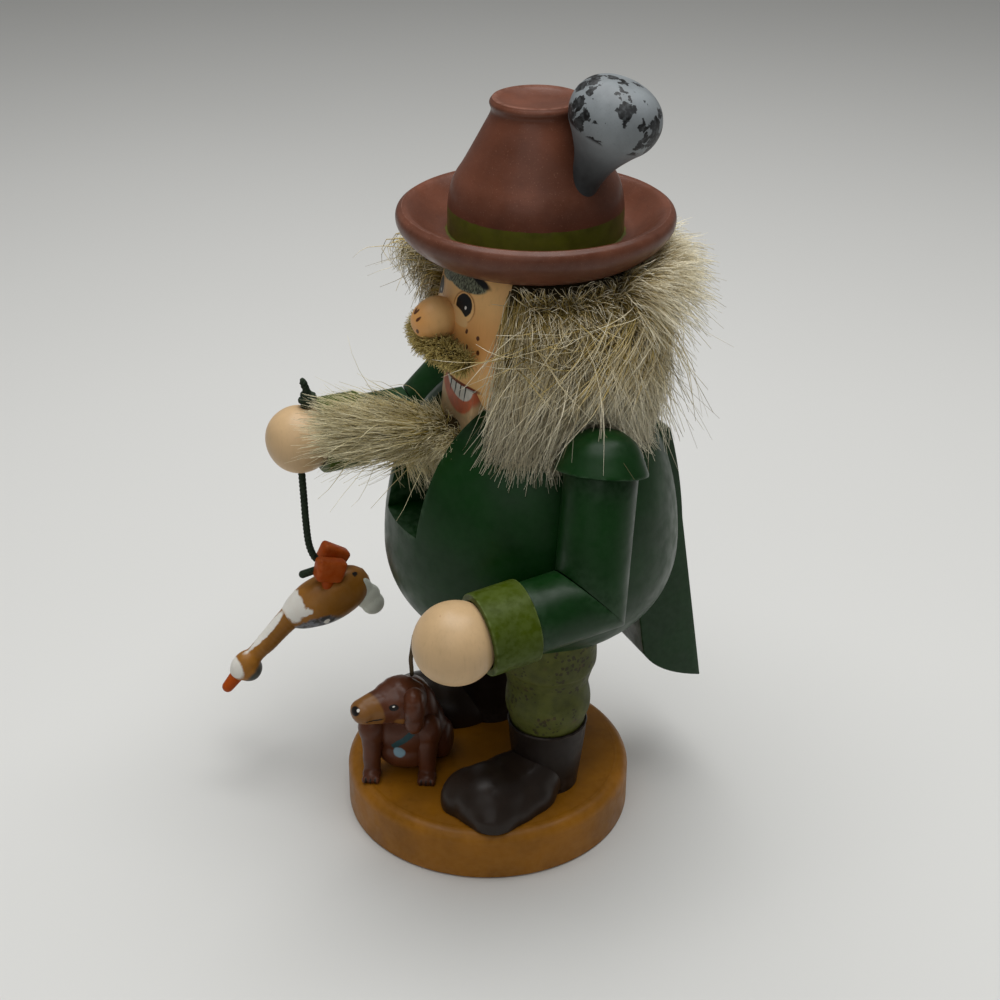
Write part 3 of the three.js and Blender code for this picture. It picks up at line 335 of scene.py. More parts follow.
def carve(piece, size, depth, seed):
    """Shallow knife cuts: the middle of each cell is pared away and ridges are left between cells."""
    shift = Vector((seed, seed, seed))
    for point, normal in [(v, v.normal.copy()) for v in piece.data.vertices]:
        reach = noise.voronoi(point.co / (size * MM) + shift)[0][0]
        point.co += normal * (min(reach, CARVE_LIMIT) - CARVE_MIDDLE) * depth * MM
    piece.data.update()
    return piece


def wobble(piece, size, depth, seed=0.0):
    """Slow unevenness of a hand-finished surface."""
    shift = Vector((seed, seed, seed))
    for point, normal in [(v, v.normal.copy()) for v in piece.data.vertices]:
        point.co += normal * noise.noise(point.co / (size * MM) + shift) * depth * MM
    piece.data.update()
    return piece


def mark_edges(piece):
    """Stores how far each point stands out from its neighbours, for pale edges that are paint worn thin
    there together with a painted highlight.
    """
    mesh = piece.data
    count = len(mesh.vertices)
    places = np.empty(count * 3)
    normals = np.empty(count * 3)
    ends = np.empty(len(mesh.edges) * 2, dtype=int)
    mesh.vertices.foreach_get("co", places)
    mesh.vertices.foreach_get("normal", normals)
    mesh.edges.foreach_get("vertices", ends)
    places, normals, ends = places.reshape(-1, 3), normals.reshape(-1, 3), ends.reshape(-1, 2)
    lean = np.zeros(count)
    shared = np.zeros(count)
    for a, b in (ends.T, ends.T[::-1]):
        way = places[a] - places[b]
        way /= np.maximum(np.linalg.norm(way, axis=1, keepdims=True), TINY * MM)
        np.add.at(lean, a, (normals[a] * way).sum(axis=1))
        np.add.at(shared, a, 1)
    edge = np.clip(EDGE_GAIN * lean / np.maximum(shared, 1), 0, 1)
    mesh.attributes.new("edge", "FLOAT", "POINT").data.foreach_set("value", edge)


def twisted_cord(name, route, radius, pitch):
    """A cord of three strands laid round each other along a route, and the path of its middle."""
    path = spline(route, 24)
    reach = np.concatenate([[0], np.cumsum(np.linalg.norm(np.diff(path, axis=0), axis=1))])
    even = np.arange(0, reach[-1], radius / 3)
    path = np.stack([np.interp(even, reach, path[:, k]) for k in range(3)], -1)
    points = []
    side = Vector((1, 0, 0))
    for i, (spot, way) in enumerate(zip(path, np.gradient(path, axis=0))):
        way = Vector(way).normalized()
        side = (side - side.dot(way) * way).normalized()
        other = way.cross(side)
        blunt = min(1, 0.5 + 0.17 * min(i, len(path) - 1 - i))
        for k in range(CORD_SIDES):
            angle = 2 * math.pi * k / CORD_SIDES
            reach_out = blunt * radius * (0.93 + 0.07 * math.cos(CORD_STRANDS * angle))
            turned = angle + 2 * math.pi * even[i] / pitch
            points.append(Vector(spot) + reach_out * (math.cos(turned) * side + math.sin(turned) * other))
    return soften(mesh_piece(name, points, tube_faces(len(path), CORD_SIDES)), 60), path


# Materials
SPECULAR = 0.22
COAT_ROUGHNESS = 0.25
MIX_SHARE, MIX_FIRST, MIX_SECOND, MIX_RESULT = 0, 6, 7, 2
MID_GREY = (0.5, 0.5, 0.5)
LEVEL = (0, 0, 0)


class Finish:
    """A material, written as calls that add its nodes."""

    def __init__(self, name, roughness, specular=SPECULAR, coat=0.0):
        self.material = bpy.data.materials.new(name)
        self.material.use_nodes = True
        self.tree = self.material.node_tree
        self.shader = self.tree.nodes["Principled BSDF"]
        self.shader.inputs["Specular IOR Level"].default_value = specular
        self.shader.inputs["Coat Weight"].default_value = coat
        self.shader.inputs["Coat Roughness"].default_value = COAT_ROUGHNESS
        self.shader.inputs["Roughness"].default_value = roughness
        self.place = self.node("ShaderNodeTexCoord").outputs["Object"]

    def node(self, kind, inputs=None, **settings):
        made = self.tree.nodes.new(kind)
        for key, value in settings.items():
            setattr(made, key, value)
        for key, value in (inputs or {}).items():
            self.feed(made.inputs[key], value)
        return made

    def feed(self, socket, value):
        if isinstance(value, bpy.types.NodeSocket):
            self.tree.links.new(value, socket)
        else:
            socket.default_value = value

    def vector(self, operation, first, second=LEVEL):
        return self.node("ShaderNodeVectorMath", {0: first, 1: second}, operation=operation)

    def field(self, size, detail, where):
        inputs = {"Scale": 1 / (size * MM), "Detail": detail, "Vector": where}
        return self.node("ShaderNodeTexNoise", inputs)

    def noise(self, size, detail=3, stretch=(1, 1, 1)):
        """A soft random field whose patches are about size millimetres across, longer where stretched."""
        scaled = self.vector("MULTIPLY", self.place, tuple(1 / s for s in stretch))
        return self.field(size, detail, scaled.outputs[0]).outputs[0]

    def span(self, value, low, high, start=0.0, end=1.0):
        inputs = {"Value": value, "From Min": low, "From Max": high, "To Min": start, "To Max": end}
        return self.node("ShaderNodeMapRange", inputs, interpolation_type="SMOOTHSTEP").outputs[0]

    def math(self, operation, first, second):
        return self.node("ShaderNodeMath", {0: first, 1: second}, operation=operation).outputs[0]

    def mix(self, share, first, second):
        inputs = {MIX_SHARE: share, MIX_FIRST: colour(first), MIX_SECOND: colour(second)}
        return self.node("ShaderNodeMix", inputs, data_type="RGBA").outputs[MIX_RESULT]

    def attribute(self, name):
        return self.node("ShaderNodeAttribute", attribute_name=name).outputs["Fac"]

    def shaken(self, size, depth):
        """Places shifted a little, so that painted edges look hand drawn."""
        middle = self.vector("SUBTRACT", self.field(size, 2, self.place).outputs["Color"], MID_GREY)
        shift = self.vector("SCALE", middle.outputs[0])
        shift.inputs["Scale"].default_value = depth * MM
        return self.vector("ADD", self.place, shift.outputs[0]).outputs[0]

    def dab(self, where, centre, radii, turn, soft):
        """One inside an ellipsoid and zero outside it, with a soft border."""
        inputs = {"Vector": where, "Rotation": turn}
        inputs |= {"Location": Vector(centre) * MM, "Scale": Vector(radii) * MM}
        fitted = self.node("ShaderNodeMapping", inputs, vector_type="TEXTURE")
        reach = self.vector("LENGTH", fitted.outputs[0])
        return self.span(reach.outputs["Value"], 1 + soft, 1 - soft)

    def paint(self, shade, where, tint, dabs):
        """Paints the same tint at each dab: centre, radii, turn and softness."""
        for dab in dabs:
            shade = self.mix(self.dab(where, *dab), shade, tint)
        return shade

    def part(self, axis):
        return self.node("ShaderNodeSeparateXYZ", {0: self.place}).outputs[axis]

    def close(self, shade, rough=None, height=None, strength=0.2, depth=0.1):
        self.feed(self.shader.inputs["Base Color"], shade)
        if rough is not None:
            self.feed(self.shader.inputs["Roughness"], rough)
        if height is not None:
            inputs = {"Height": height, "Strength": strength, "Distance": depth * MM}
            self.feed(self.shader.inputs["Normal"], self.node("ShaderNodeBump", inputs).outputs[0])
        return self


def colour(value):
    """A colour socket as it is, or three numbers with alpha added."""
    if isinstance(value, tuple) and len(value) == 3:
        return (*value, 1.0)
    return value


def tinted(value, factor):
    return tuple(min(1.0, c * factor) for c in value)


def painted(name, tint, wear_and_highlight, roughness, coat, ring=(1, 1, 1), wear_and_highlight_share=0.6, extra=None, specular=SPECULAR):
    """Satin paint on turned wood: clouded colour, faint tool rings and pale edges, where paint is worn thin
    and a highlight is painted along them.
    """
    finish = Finish(name, roughness, specular, coat)
    cloud = finish.noise(14, 3)
    fine = finish.noise(0.5, 2, ring)
    shade = finish.mix(finish.span(cloud, 0.3, 0.7), tinted(tint, 0.82), tinted(tint, 1.16))
    shade = finish.mix(finish.span(fine, 0.55, 0.8, 0, 0.35), shade, tinted(tint, 0.6))
    if extra:
        shade = extra(finish, shade)
    # Pale edges: paint worn thin there, with a painted highlight along them.
    edge_wear_and_highlight = finish.math("MULTIPLY", finish.attribute("edge"), finish.span(finish.noise(2.2, 3), 0.3, 0.65))
    shade = finish.mix(finish.math("MULTIPLY", edge_wear_and_highlight, wear_and_highlight_share), shade, wear_and_highlight)
    rough = finish.span(finish.noise(5, 4), 0.25, 0.75, roughness - 0.08, roughness + 0.1)
    grain = finish.noise(1.1, 4, tuple(3 * s for s in ring))
    return finish.close(shade, rough, grain, 0.25, 0.12)


def dress(piece, finish):
    piece.data.materials.clear()
    piece.data.materials.append(finish.material)


def place(piece, finish, body="figure", nodes=()):
    """Gives a piece its material, its body and the nodes that it stands for."""
    dress(piece, finish)
    if piece.data.attributes.get("edge") is None:
        mark_edges(piece)
    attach(piece, body)
    if nodes:
        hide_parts(*nodes)
    return piece


# Colours, as linear light
# Each paler colour for edges below is both paint worn thin there and a painted highlight.
GREEN = (0.0012, 0.027, 0.0016)
GREEN_WEAR_AND_HIGHLIGHT = (0.06, 0.11, 0.06)
OLIVE = (0.043, 0.064, 0.002)
OLIVE_WEAR_AND_HIGHLIGHT = (0.2, 0.26, 0.1)
TROUSER = (0.08, 0.088, 0.012)
BOOT = (0.0105, 0.0065, 0.0045)
OCHRE = (0.28, 0.108, 0.004)
FLESH = (0.6, 0.41, 0.22)
FACE = (0.83, 0.49, 0.19)
HAT = (0.115, 0.038, 0.02)
BAND = (0.075, 0.085, 0.006)
BRUSH = (0.2, 0.22, 0.23)
DOG = (0.09, 0.026, 0.01)
DOG_TAN = (0.21, 0.09, 0.02)
GOOSE_TAN = (0.29, 0.118, 0.014)
GOOSE_ORANGE = (0.36, 0.058, 0.004)
BLACK = (0.004, 0.004, 0.004)
WHITE = (0.78, 0.76, 0.7)
CREAM = (0.76, 0.47, 0.2)
BLUSH = (0.7, 0.27, 0.05)
FRECKLE = (0.1, 0.03, 0.01)
LIP = (0.16, 0.025, 0.015)
LOWER_LIP = (0.6, 0.15, 0.07)
TAN_LINE = (0.4, 0.17, 0.05)
BROW = (0.15, 0.16, 0.105)
BOOT_WEAR_AND_HIGHLIGHT = (0.06, 0.045, 0.04)
OCHRE_WEAR_AND_HIGHLIGHT = (0.55, 0.27, 0.07)
TROUSER_WEAR_AND_HIGHLIGHT = (0.25, 0.26, 0.12)
TROUSER_SPECK = (0.025, 0.016, 0.007)
TROUSER_RUDDY = (0.085, 0.04, 0.018)
WOOD_PIT = (0.4, 0.2, 0.1)
HAT_WEAR_AND_HIGHLIGHT = (0.3, 0.15, 0.11)
HAT_SPECK = (0.3, 0.15, 0.1)
BRUSH_WEAR_AND_HIGHLIGHT = (0.4, 0.42, 0.44)
DOG_WEAR_AND_HIGHLIGHT = (0.22, 0.09, 0.05)
DOG_COLLAR = (0.006, 0.05, 0.06)
DOG_TAG = (0.2, 0.34, 0.42)
GOOSE_WEAR_AND_HIGHLIGHT = (0.5, 0.32, 0.14)
ORANGE_WEAR_AND_HIGHLIGHT = (0.55, 0.18, 0.06)
SLATE = (0.05, 0.055, 0.06)
PALE_SLATE = (0.2, 0.21, 0.24)
NAPE = (0.06, 0.065, 0.055)
TAIL = (0.7, 0.73, 0.64)
TAIL_WEAR_AND_HIGHLIGHT = (0.8, 0.82, 0.76)
CORD = (0.022, 0.034, 0.02)
LEASH = (0.075, 0.05, 0.025)
FUR_ROOT = (0.13, 0.09, 0.015)
FUR_MID = (0.67, 0.5, 0.16)
FUR_TIP = (1.0, 0.93, 0.72)
MOUSTACHE_MID = (0.37, 0.27, 0.06)
MOUSTACHE_TIP = (0.66, 0.53, 0.2)
BEARD_ROOT = (0.11, 0.076, 0.008)
BEARD_MID = (0.57, 0.43, 0.1)
BEARD_TIP = (0.96, 0.88, 0.6)
FUR_GROUND_SHADE = (0.04, 0.028, 0.008)
FUR_GROUND_SHADE_WEAR_AND_HIGHLIGHT = (0.06, 0.045, 0.015)
BEECH = (0.72, 0.5, 0.27)
DARK_BEECH = (0.55, 0.34, 0.16)
STEEL = (0.6, 0.6, 0.6)
DARK_STEEL = (0.42, 0.42, 0.42)
PAPER = (0.69, 0.69, 0.67)
DARK_PAPER = (0.66, 0.66, 0.64)
SKY = (1.0, 1.0, 0.98)

# How far tool marks are stretched along X, Y and Z on a piece turned about Z
TURNED = (6, 6, 0.6)

coat_paint = painted("coat_paint", GREEN, GREEN_WEAR_AND_HIGHLIGHT, 0.4, 0.03, TURNED)
cuff_paint = painted("cuff_paint", OLIVE, OLIVE_WEAR_AND_HIGHLIGHT, 0.4, 0.0, specular=0.08)
boot_paint = painted("boot_paint", BOOT, BOOT_WEAR_AND_HIGHLIGHT, 0.42, 0.04)
shoe_paint = painted("shoe_paint", tinted(BOOT, 2.2), BOOT_WEAR_AND_HIGHLIGHT, 0.36, 0.1)
base_paint = painted("base_paint", OCHRE, OCHRE_WEAR_AND_HIGHLIGHT, 0.45, 0.04, TURNED)


# Cords: the goose's cord under the right hand, its knot, and the leash
def cord_finish(name, tint):
    finish = Finish(name, 0.85, 0.2)
    fibre = finish.noise(0.25, 2)
    shade = finish.mix(finish.span(fibre, 0.35, 0.7), tinted(tint, 0.55), tinted(tint, 1.7))
    return finish.close(shade, None, fibre, 0.5, 0.1)


cord_green = cord_finish("cord_green", CORD)
leash_brown = cord_finish("leash_brown", LEASH)
CORD_PITCH = 4.5
LEASH_PITCH = 2.6
KNOT_PLACE = Vector((-53.23, -41.6, 130.6))
KNOT_RADIUS = 1.7
KNOT_ANGLE = 2 * math.pi * 1.9
KNOT_STUB = [(0, -1.2, -4), (0, 0, 2), (0.2, 0.8, 5), (0.5, -0.1, 8), (0.7, -1, 10.8)]


def make_cords():
    route = [CORD_TOP + Vector(step) for step in CORD_ROUTE]
    cord, path = twisted_cord("goose_cord_rope", route, CORD_RADIUS, CORD_PITCH)
    place(cord, cord_green, "cord", ["goose_cord"])
    loops = []
    for angle in np.linspace(0, KNOT_ANGLE, 40):
        rise = 1.2 + 3.4 * angle / KNOT_ANGLE
        loop = (KNOT_RADIUS * math.cos(angle), KNOT_RADIUS * math.sin(angle) + 0.5 * rise - 0.6, rise)
        loops.append(KNOT_PLACE + Vector(loop))
    wind, _ = twisted_cord("knot_turns", loops, CORD_RADIUS, CORD_PITCH)
    stub = [KNOT_PLACE + Vector(spot) for spot in KNOT_STUB]
    tail, _ = twisted_cord("knot_stub", stub, CORD_RADIUS, CORD_PITCH)
    place(wind, cord_green, nodes=["cord_knot"])
    place(tail, cord_green)
    leash, path = twisted_cord("leash_cord", LEASH_ROUTE, LEASH_RADIUS, LEASH_PITCH)
    place(leash, leash_brown, nodes=["dog_leash"])


make_cords()


# Base, boots and legs
BASE_ROUND = 4
BASE_EASE = 0.8
RIM_RADIUS = 11.9
RIM_DEPTH = 3
TROUSER_WAVE = [(11.6, -3), (12.2, 1), (13.6, 5.5), (13.8, 9.5), (13.2, 15)]
TROUSER_WAVE += [(14.6, 21), (15.4, 24), (15.4, 36)]


def make_base():
    top_edge = (BASE_RADIUS - BASE_ROUND, BASE_THICKNESS - BASE_ROUND)
    round_off = arc(top_edge, BASE_ROUND, 0, 90, 10)
    foot = arc((BASE_RADIUS - BASE_EASE, BASE_EASE), BASE_EASE, -90, 0, 3)
    flat = [(BASE_RADIUS - 4.4, BASE_THICKNESS - 0.12), (BASE_RADIUS - 5, BASE_THICKNESS - 0.02)]
    profile = [(0, 0), *foot, *round_off, *flat, (30, BASE_THICKNESS), (0, BASE_THICKNESS)]
    place(lathe("base", profile, 160), base_paint, nodes=["base_disc"])


def trouser_finish():
    def specks(finish, shade):
        where = finish.shaken(1.4, 1.6)
        blotch = finish.span(finish.noise(3.2, 4), 0.35, 0.7, 0, 0.6)
        shade = finish.mix(blotch, shade, tinted(TROUSER, 0.5))
        cells = finish.node("ShaderNodeTexVoronoi", {"Scale": 1 / (1.7 * MM), "Vector": where})
        crowd = finish.span(finish.noise(8, 2), 0.38, 0.6, 0.1, 0.45)
        dot = finish.span(cells.outputs["Distance"], crowd, finish.math("MULTIPLY", crowd, 0.7), 0, 0.8)
        shade = finish.mix(dot, shade, TROUSER_SPECK)
        ruddy = finish.span(finish.noise(4, 3), 0.6, 0.75, 0, 0.5)
        return finish.mix(ruddy, shade, TROUSER_RUDDY)

    return painted("trouser_paint", TROUSER, TROUSER_WEAR_AND_HIGHLIGHT, 0.55, 0.0, extra=specks)


def make_legs():
    trouser_paint = trouser_finish()
    for side, sign in SIDES.items():
        x = sign * LEG_X
        height = BOOT_TOP - BASE_THICKNESS
        shaft = [(0, 0), (10.2, 0), (11.2, 8), (12.3, 17), (12.8, height - 1), (13.05, height - 0.4)]
        rim = [(12.8, height), (12.2, height), (RIM_RADIUS, height - 0.4)]
        seat = [(RIM_RADIUS, height - RIM_DEPTH), (0, height - RIM_DEPTH)]
        boot = lathe(f"{side}_boot", [*shaft, *rim, *seat], 72, (x, LEG_Y, BASE_THICKNESS))
        place(boot, boot_paint, nodes=[f"{side}_boot_shaft"])
        turn = Matrix.Translation(Vector((x, LEG_Y, 0)) * MM) @ Matrix.Rotation(sign * TOE_OUT, 4, "Z")
        floor = BASE_THICKNESS
        lumps = [
            lump((0, -24, floor + 3.6), (12.4, 13.5, 11.4)),
            lump((sign * 6.4, -27.4, floor + 1.6), (8, 9.6, 7.2)),
            lump((-sign * 7, -28, floor + 2.4), (8.2, 10, 9.4)),
            lump((0, -15, floor + 3.6), (12.2, 13, 10.4)),
            lump((sign * 5.4, -14, floor + 1.8), (8.2, 12, 7.6)),
            lump((sign * 6.6, -21, floor + 1.4), (7.6, 9, 6.8)),
            lump((-sign * 5, -13, floor + 2), (7, 12, 8.4)),
            lump((sign * 1.5, -8, floor + 6.2), (10.4, 9.5, 9)),
            lump((0, -1, floor + 3), (10.4, 5.2, 6)),
        ]
        shoe = blob(f"{side}_shoe_carved", lumps, 0.55, 70, floor, turn)
        carve(shoe, 15, 1.1, 2.0 + sign)
        place(shoe, shoe_paint, nodes=[f"{side}_shoe"])
        profile = [(0, TROUSER_WAVE[0][1]), *spline(TROUSER_WAVE), (0, TROUSER_WAVE[-1][1])]
        leg = lathe(f"{side}_leg", profile, 72, (x, LEG_Y, BOOT_TOP))
        wobble(leg, 9, 0.5, sign)
        place(leg, trouser_paint, nodes=[f"{side}_trouser_leg"])


make_base()
make_legs()

# Coat, lever and arms
WAIST_BACK = AXIS_Y + COAT_RADIUS + 3
WAIST_FRONT = WAIST_BACK - 20
TAIL_END = (AXIS_Y + COAT_RADIUS + 13.8, 32.8)
TAIL_FRONT = (TAIL_END[0] - 23, 47.8)
TAIL_TOP = 131.5
TAIL_TOP_BACK = AXIS_Y + coat_radius(TAIL_TOP) + 3
LEVER_CREST = 149.0
LEVER_BELLY = 126.0
CREST_BACK = 20.4
CUP_FRONT = -5.2
SLOT_FLOOR = 112.0
FAR = 200.0
BOW_POINTS = 11
SLEEVE_EASE = 0.45
SLEEVE_RINGS = 9
SLEEVE_SIDES = 64
CAP_RADIUS = 13.9
CAP_HEIGHT = 12.9


def bow(start, bend, end):
    """Points on a curve from start to end, drawn towards bend."""
    made = []
    for t in np.linspace(0, 1, BOW_POINTS):
        a, b, c = (1 - t) ** 2, 2 * t * (1 - t), t * t
        made.append((a * start[0] + b * bend[0] + c * end[0], a * start[1] + b * bend[1] + c * end[1]))
    return made


def make_coat():
    angles = np.linspace(-math.pi / 2, math.asin((NECK_Z - COAT_WIDEST) / COAT_UPPER), 49)
    profile = [(0, COAT_WIDEST - COAT_LOWER)]
    for angle in angles[1:]:
        half = COAT_UPPER if angle > 0 else COAT_LOWER
        z = COAT_WIDEST + half * math.sin(angle)
        profile.append((coat_radius(z), z))
    profile.append((0, NECK_Z))
    coat = lathe("coat", profile, 144, (0, AXIS_Y, 0))
    slot = [
        (-FAR, SLOT_FLOOR),
        (PIVOT_Y, SLOT_FLOOR),
        (WAIST_FRONT - 8, COAT_WIDEST + 8),
        (WAIST_FRONT - 1.2, COAT_WIDEST),
        (TAIL_FRONT[0] - 1.2, TAIL_FRONT[1]),
        (TAIL_FRONT[0] - 1.2, 0),
        (FAR, 0),
        (FAR, FAR),
        (-FAR, FAR),
    ]
    combine(coat, board("slot", slot, SLOT_WIDTH, 0), "DIFFERENCE", 40)
    place(coat, coat_paint, nodes=["coat_body"])


def lever_finish():
    """Green tail, and a painted mouth at the front: teeth, lips and flesh at the jaw's sides."""
    def mouth(finish, shade):
        where = finish.shaken(1.5, 0.35)
        jaw = [((0, -10, 146), (14, 12, 15), LEVEL, 0.08)]
        lip = [((0.6, -10, 156.4), (11.4, 7, 9.6), LEVEL, 0.05)]
        teeth = [((1.4, -10, 157), (9.2, 7, 5.6), LEVEL, 0.04)]
        gaps = [((x, -10, 156), (0.42, 5, 4.6), (0, 0.12, 0), 0.12) for x in (-4.6, -1.2, 2.2, 5.6)]
        shade = finish.paint(shade, where, FLESH, jaw)
        shade = finish.paint(shade, where, LOWER_LIP, lip)
        shade = finish.paint(shade, where, WHITE, teeth)
        return finish.paint(shade, where, BLACK, gaps)

    return painted("lever_paint", GREEN, GREEN_WEAR_AND_HIGHLIGHT, 0.4, 0.03, extra=mouth)


def make_lever():
    outline = [(TEETH_FRONT, TEETH_TOP), (CHIN_FRONT, 132), (CHIN_FRONT, 128)]
    outline += bow((PIVOT_Y, LEVER_BELLY), (WAIST_FRONT - 4, LEVER_BELLY - 4), (WAIST_FRONT, COAT_WIDEST))
    outline += bow(TAIL_FRONT, (TAIL_FRONT[0] + 5, TAIL_END[1] + 5), TAIL_END)
    middle = (COAT_WIDEST + TAIL_TOP) / 2
    bend = (AXIS_Y + coat_radius(middle) + 3, middle)
    outline += bow((WAIST_BACK, COAT_WIDEST), bend, (TAIL_TOP_BACK, TAIL_TOP))
    outline += [(TAIL_TOP_BACK - 7, TAIL_TOP + 3), (CREST_BACK, LEVER_CREST), (CUP_FRONT, LEVER_CREST)]
    outline += [(CUP_FRONT, TEETH_TOP)]
    lever = board("lever_board", outline, LEVER_WIDTH, 0.5)
    place(lever, lever_finish(), "lever", ["jaw_lever"])


def sleeve(name, start, elbow, way, normal):
    """A round sleeve from its start to the elbow's mitre plane, with both ends eased."""
    start, elbow, way = Vector(start), Vector(elbow), Vector(way).normalized()
    side = way.orthogonal().normalized()
    other = way.cross(side)
    eased = [(0, SLEEVE_EASE), (0.3 * SLEEVE_EASE, 0.3 * SLEEVE_EASE), (SLEEVE_EASE, 0)]
    points = []
    for k in range(SLEEVE_RINGS):
        for i in range(SLEEVE_SIDES):
            angle = 2 * math.pi * i / SLEEVE_SIDES
            rim = math.cos(angle) * side + math.sin(angle) * other
            foot = start + SLEEVE_RADIUS * rim
            length = (elbow - foot).dot(normal) / way.dot(normal)
            if k < len(eased):
                along, inset = eased[k]
            elif k >= SLEEVE_RINGS - len(eased):
                along, inset = eased[SLEEVE_RINGS - 1 - k]
                along = length - along
            else:
                along, inset = length * (k - 2) / (SLEEVE_RINGS - 5), 0
            points.append(foot - inset * rim + along * way)
    return soften(mesh_piece(name, points, tube_faces(SLEEVE_RINGS, SLEEVE_SIDES)), 32)


def flesh_finish(name, tint=FLESH, extra=None):
    """Thin peach paint that lets the wood's grain show."""
    finish = Finish(name, 0.42, 0.35, 0.04)
    grain = finish.noise(0.8, 4, (1, 1, 9))
    cloud = finish.noise(9, 3)
    shade = finish.mix(finish.span(cloud, 0.3, 0.7), tinted(tint, 0.93), tinted(tint, 1.05))
    shade = finish.mix(finish.span(grain, 0.5, 0.8, 0, 0.28), shade, tinted(tint, 0.72))
    pit = finish.span(finish.noise(1.4, 2), 0.74, 0.8, 0, 0.5)
    shade = finish.mix(pit, shade, WOOD_PIT)
    if extra:
        shade = extra(finish, shade)
    rough = finish.span(cloud, 0.3, 0.7, 0.36, 0.5)
    return finish.close(shade, rough, grain, 0.25, 0.1)


def make_arms():
    hand_paint = flesh_finish("hand_paint")
    for side, arm in ARMS.items():
        shoulder, elbow, hand = (Vector(arm[key]) for key in ("shoulder", "elbow", "hand"))
        radius = arm["radius"]
        up_way = (shoulder - elbow).normalized()
        fore_way = (hand - elbow).normalized()
        mitre = (up_way - fore_way).normalized()
        upper = sleeve(f"{side}_upper_arm", shoulder, elbow, -up_way, mitre)
        mouth = hand - fore_way * (radius - HAND_IN_CUFF)
        back = mouth - fore_way * CUFF_LENGTH
        fore = sleeve(f"{side}_forearm", back, elbow, -fore_way, mitre)
        place(upper, coat_paint, nodes=[f"{side}_upper_sleeve"])
        place(fore, coat_paint, nodes=[f"{side}_forearm_sleeve"])
        rim = [(0, 0), (CAP_RADIUS - 0.5, 0), (CAP_RADIUS, 0.25)]
        dome = [(CAP_RADIUS, 0.6), (12.6, 3.6), (10.9, 7.2), (8.4, 10.4), (4.6, 12.4), (0, CAP_HEIGHT)]
        cap_profile = [*rim, *spline(dome, 5)[:-1], (0, CAP_HEIGHT)]
        cap = lathe(f"{side}_shoulder", cap_profile, 64, shoulder, up_way)
        place(cap, coat_paint, nodes=[f"{side}_shoulder_cap"])
        outer, inner = CUFF_RADIUS, math.sqrt(radius**2 - (radius - HAND_IN_CUFF) ** 2) + 0.3
        seat = CUFF_LENGTH - HAND_IN_CUFF
        ring = [(0, 0), (outer - 0.6, 0), (outer - 0.1, 0.3), (outer, 0.8), (outer, CUFF_LENGTH - 0.8)]
        ring += [(outer - 0.15, CUFF_LENGTH - 0.2), (outer - 0.6, CUFF_LENGTH), (inner + 0.3, CUFF_LENGTH)]
        ring += [(inner, CUFF_LENGTH - 0.3), (inner, seat), (0, seat)]
        cuff = lathe(f"{side}_cuff_ring", ring, 80, back, fore_way)
        place(cuff, cuff_paint, nodes=[f"{side}_cuff"])
        angles = np.linspace(-math.pi / 2, math.pi / 2, 41)
        ball = [(radius * math.cos(a), radius * math.sin(a)) for a in angles]
        ball[0], ball[-1] = (0, -radius), (0, radius)
        fist = wobble(lathe(f"{side}_fist", ball, 72, hand, fore_way), 16, 0.35)
        place(fist, hand_paint, nodes=[f"{side}_hand"])


make_coat()
make_lever()
make_arms()


# Head, nose and hat
NOSE_Z = 178.6
NOSE_LENGTH = 11
NOSE_SUNK = -1.2
NOSE_DROOP = 0.18
NOSE_WAY = (0, -math.cos(NOSE_DROOP), -math.sin(NOSE_DROOP))
MOUTH_BACK = 9
NOTCH_FOOT = 100
EYE_ANGLE = 17.0
EYE_Z = 184.3
FRECKLES = [(21.8, 177.1), (30.2, 176.0), (13.6, 172.9), (21.9, 172.2), (30.3, 171.5)]
NOSE_FRECKLES = [(0.4, -23.6, 181.2), (2.4, -23.4, 179.6), (2.2, -24, 175.8)]


def on_head(angle, z):
    """A point on the head, by its height and its angle in degrees from the nose towards the left."""
    turn = math.radians(angle)
    reach = head_radius(z)
    return (reach * math.sin(turn), AXIS_Y - reach * math.cos(turn), z)


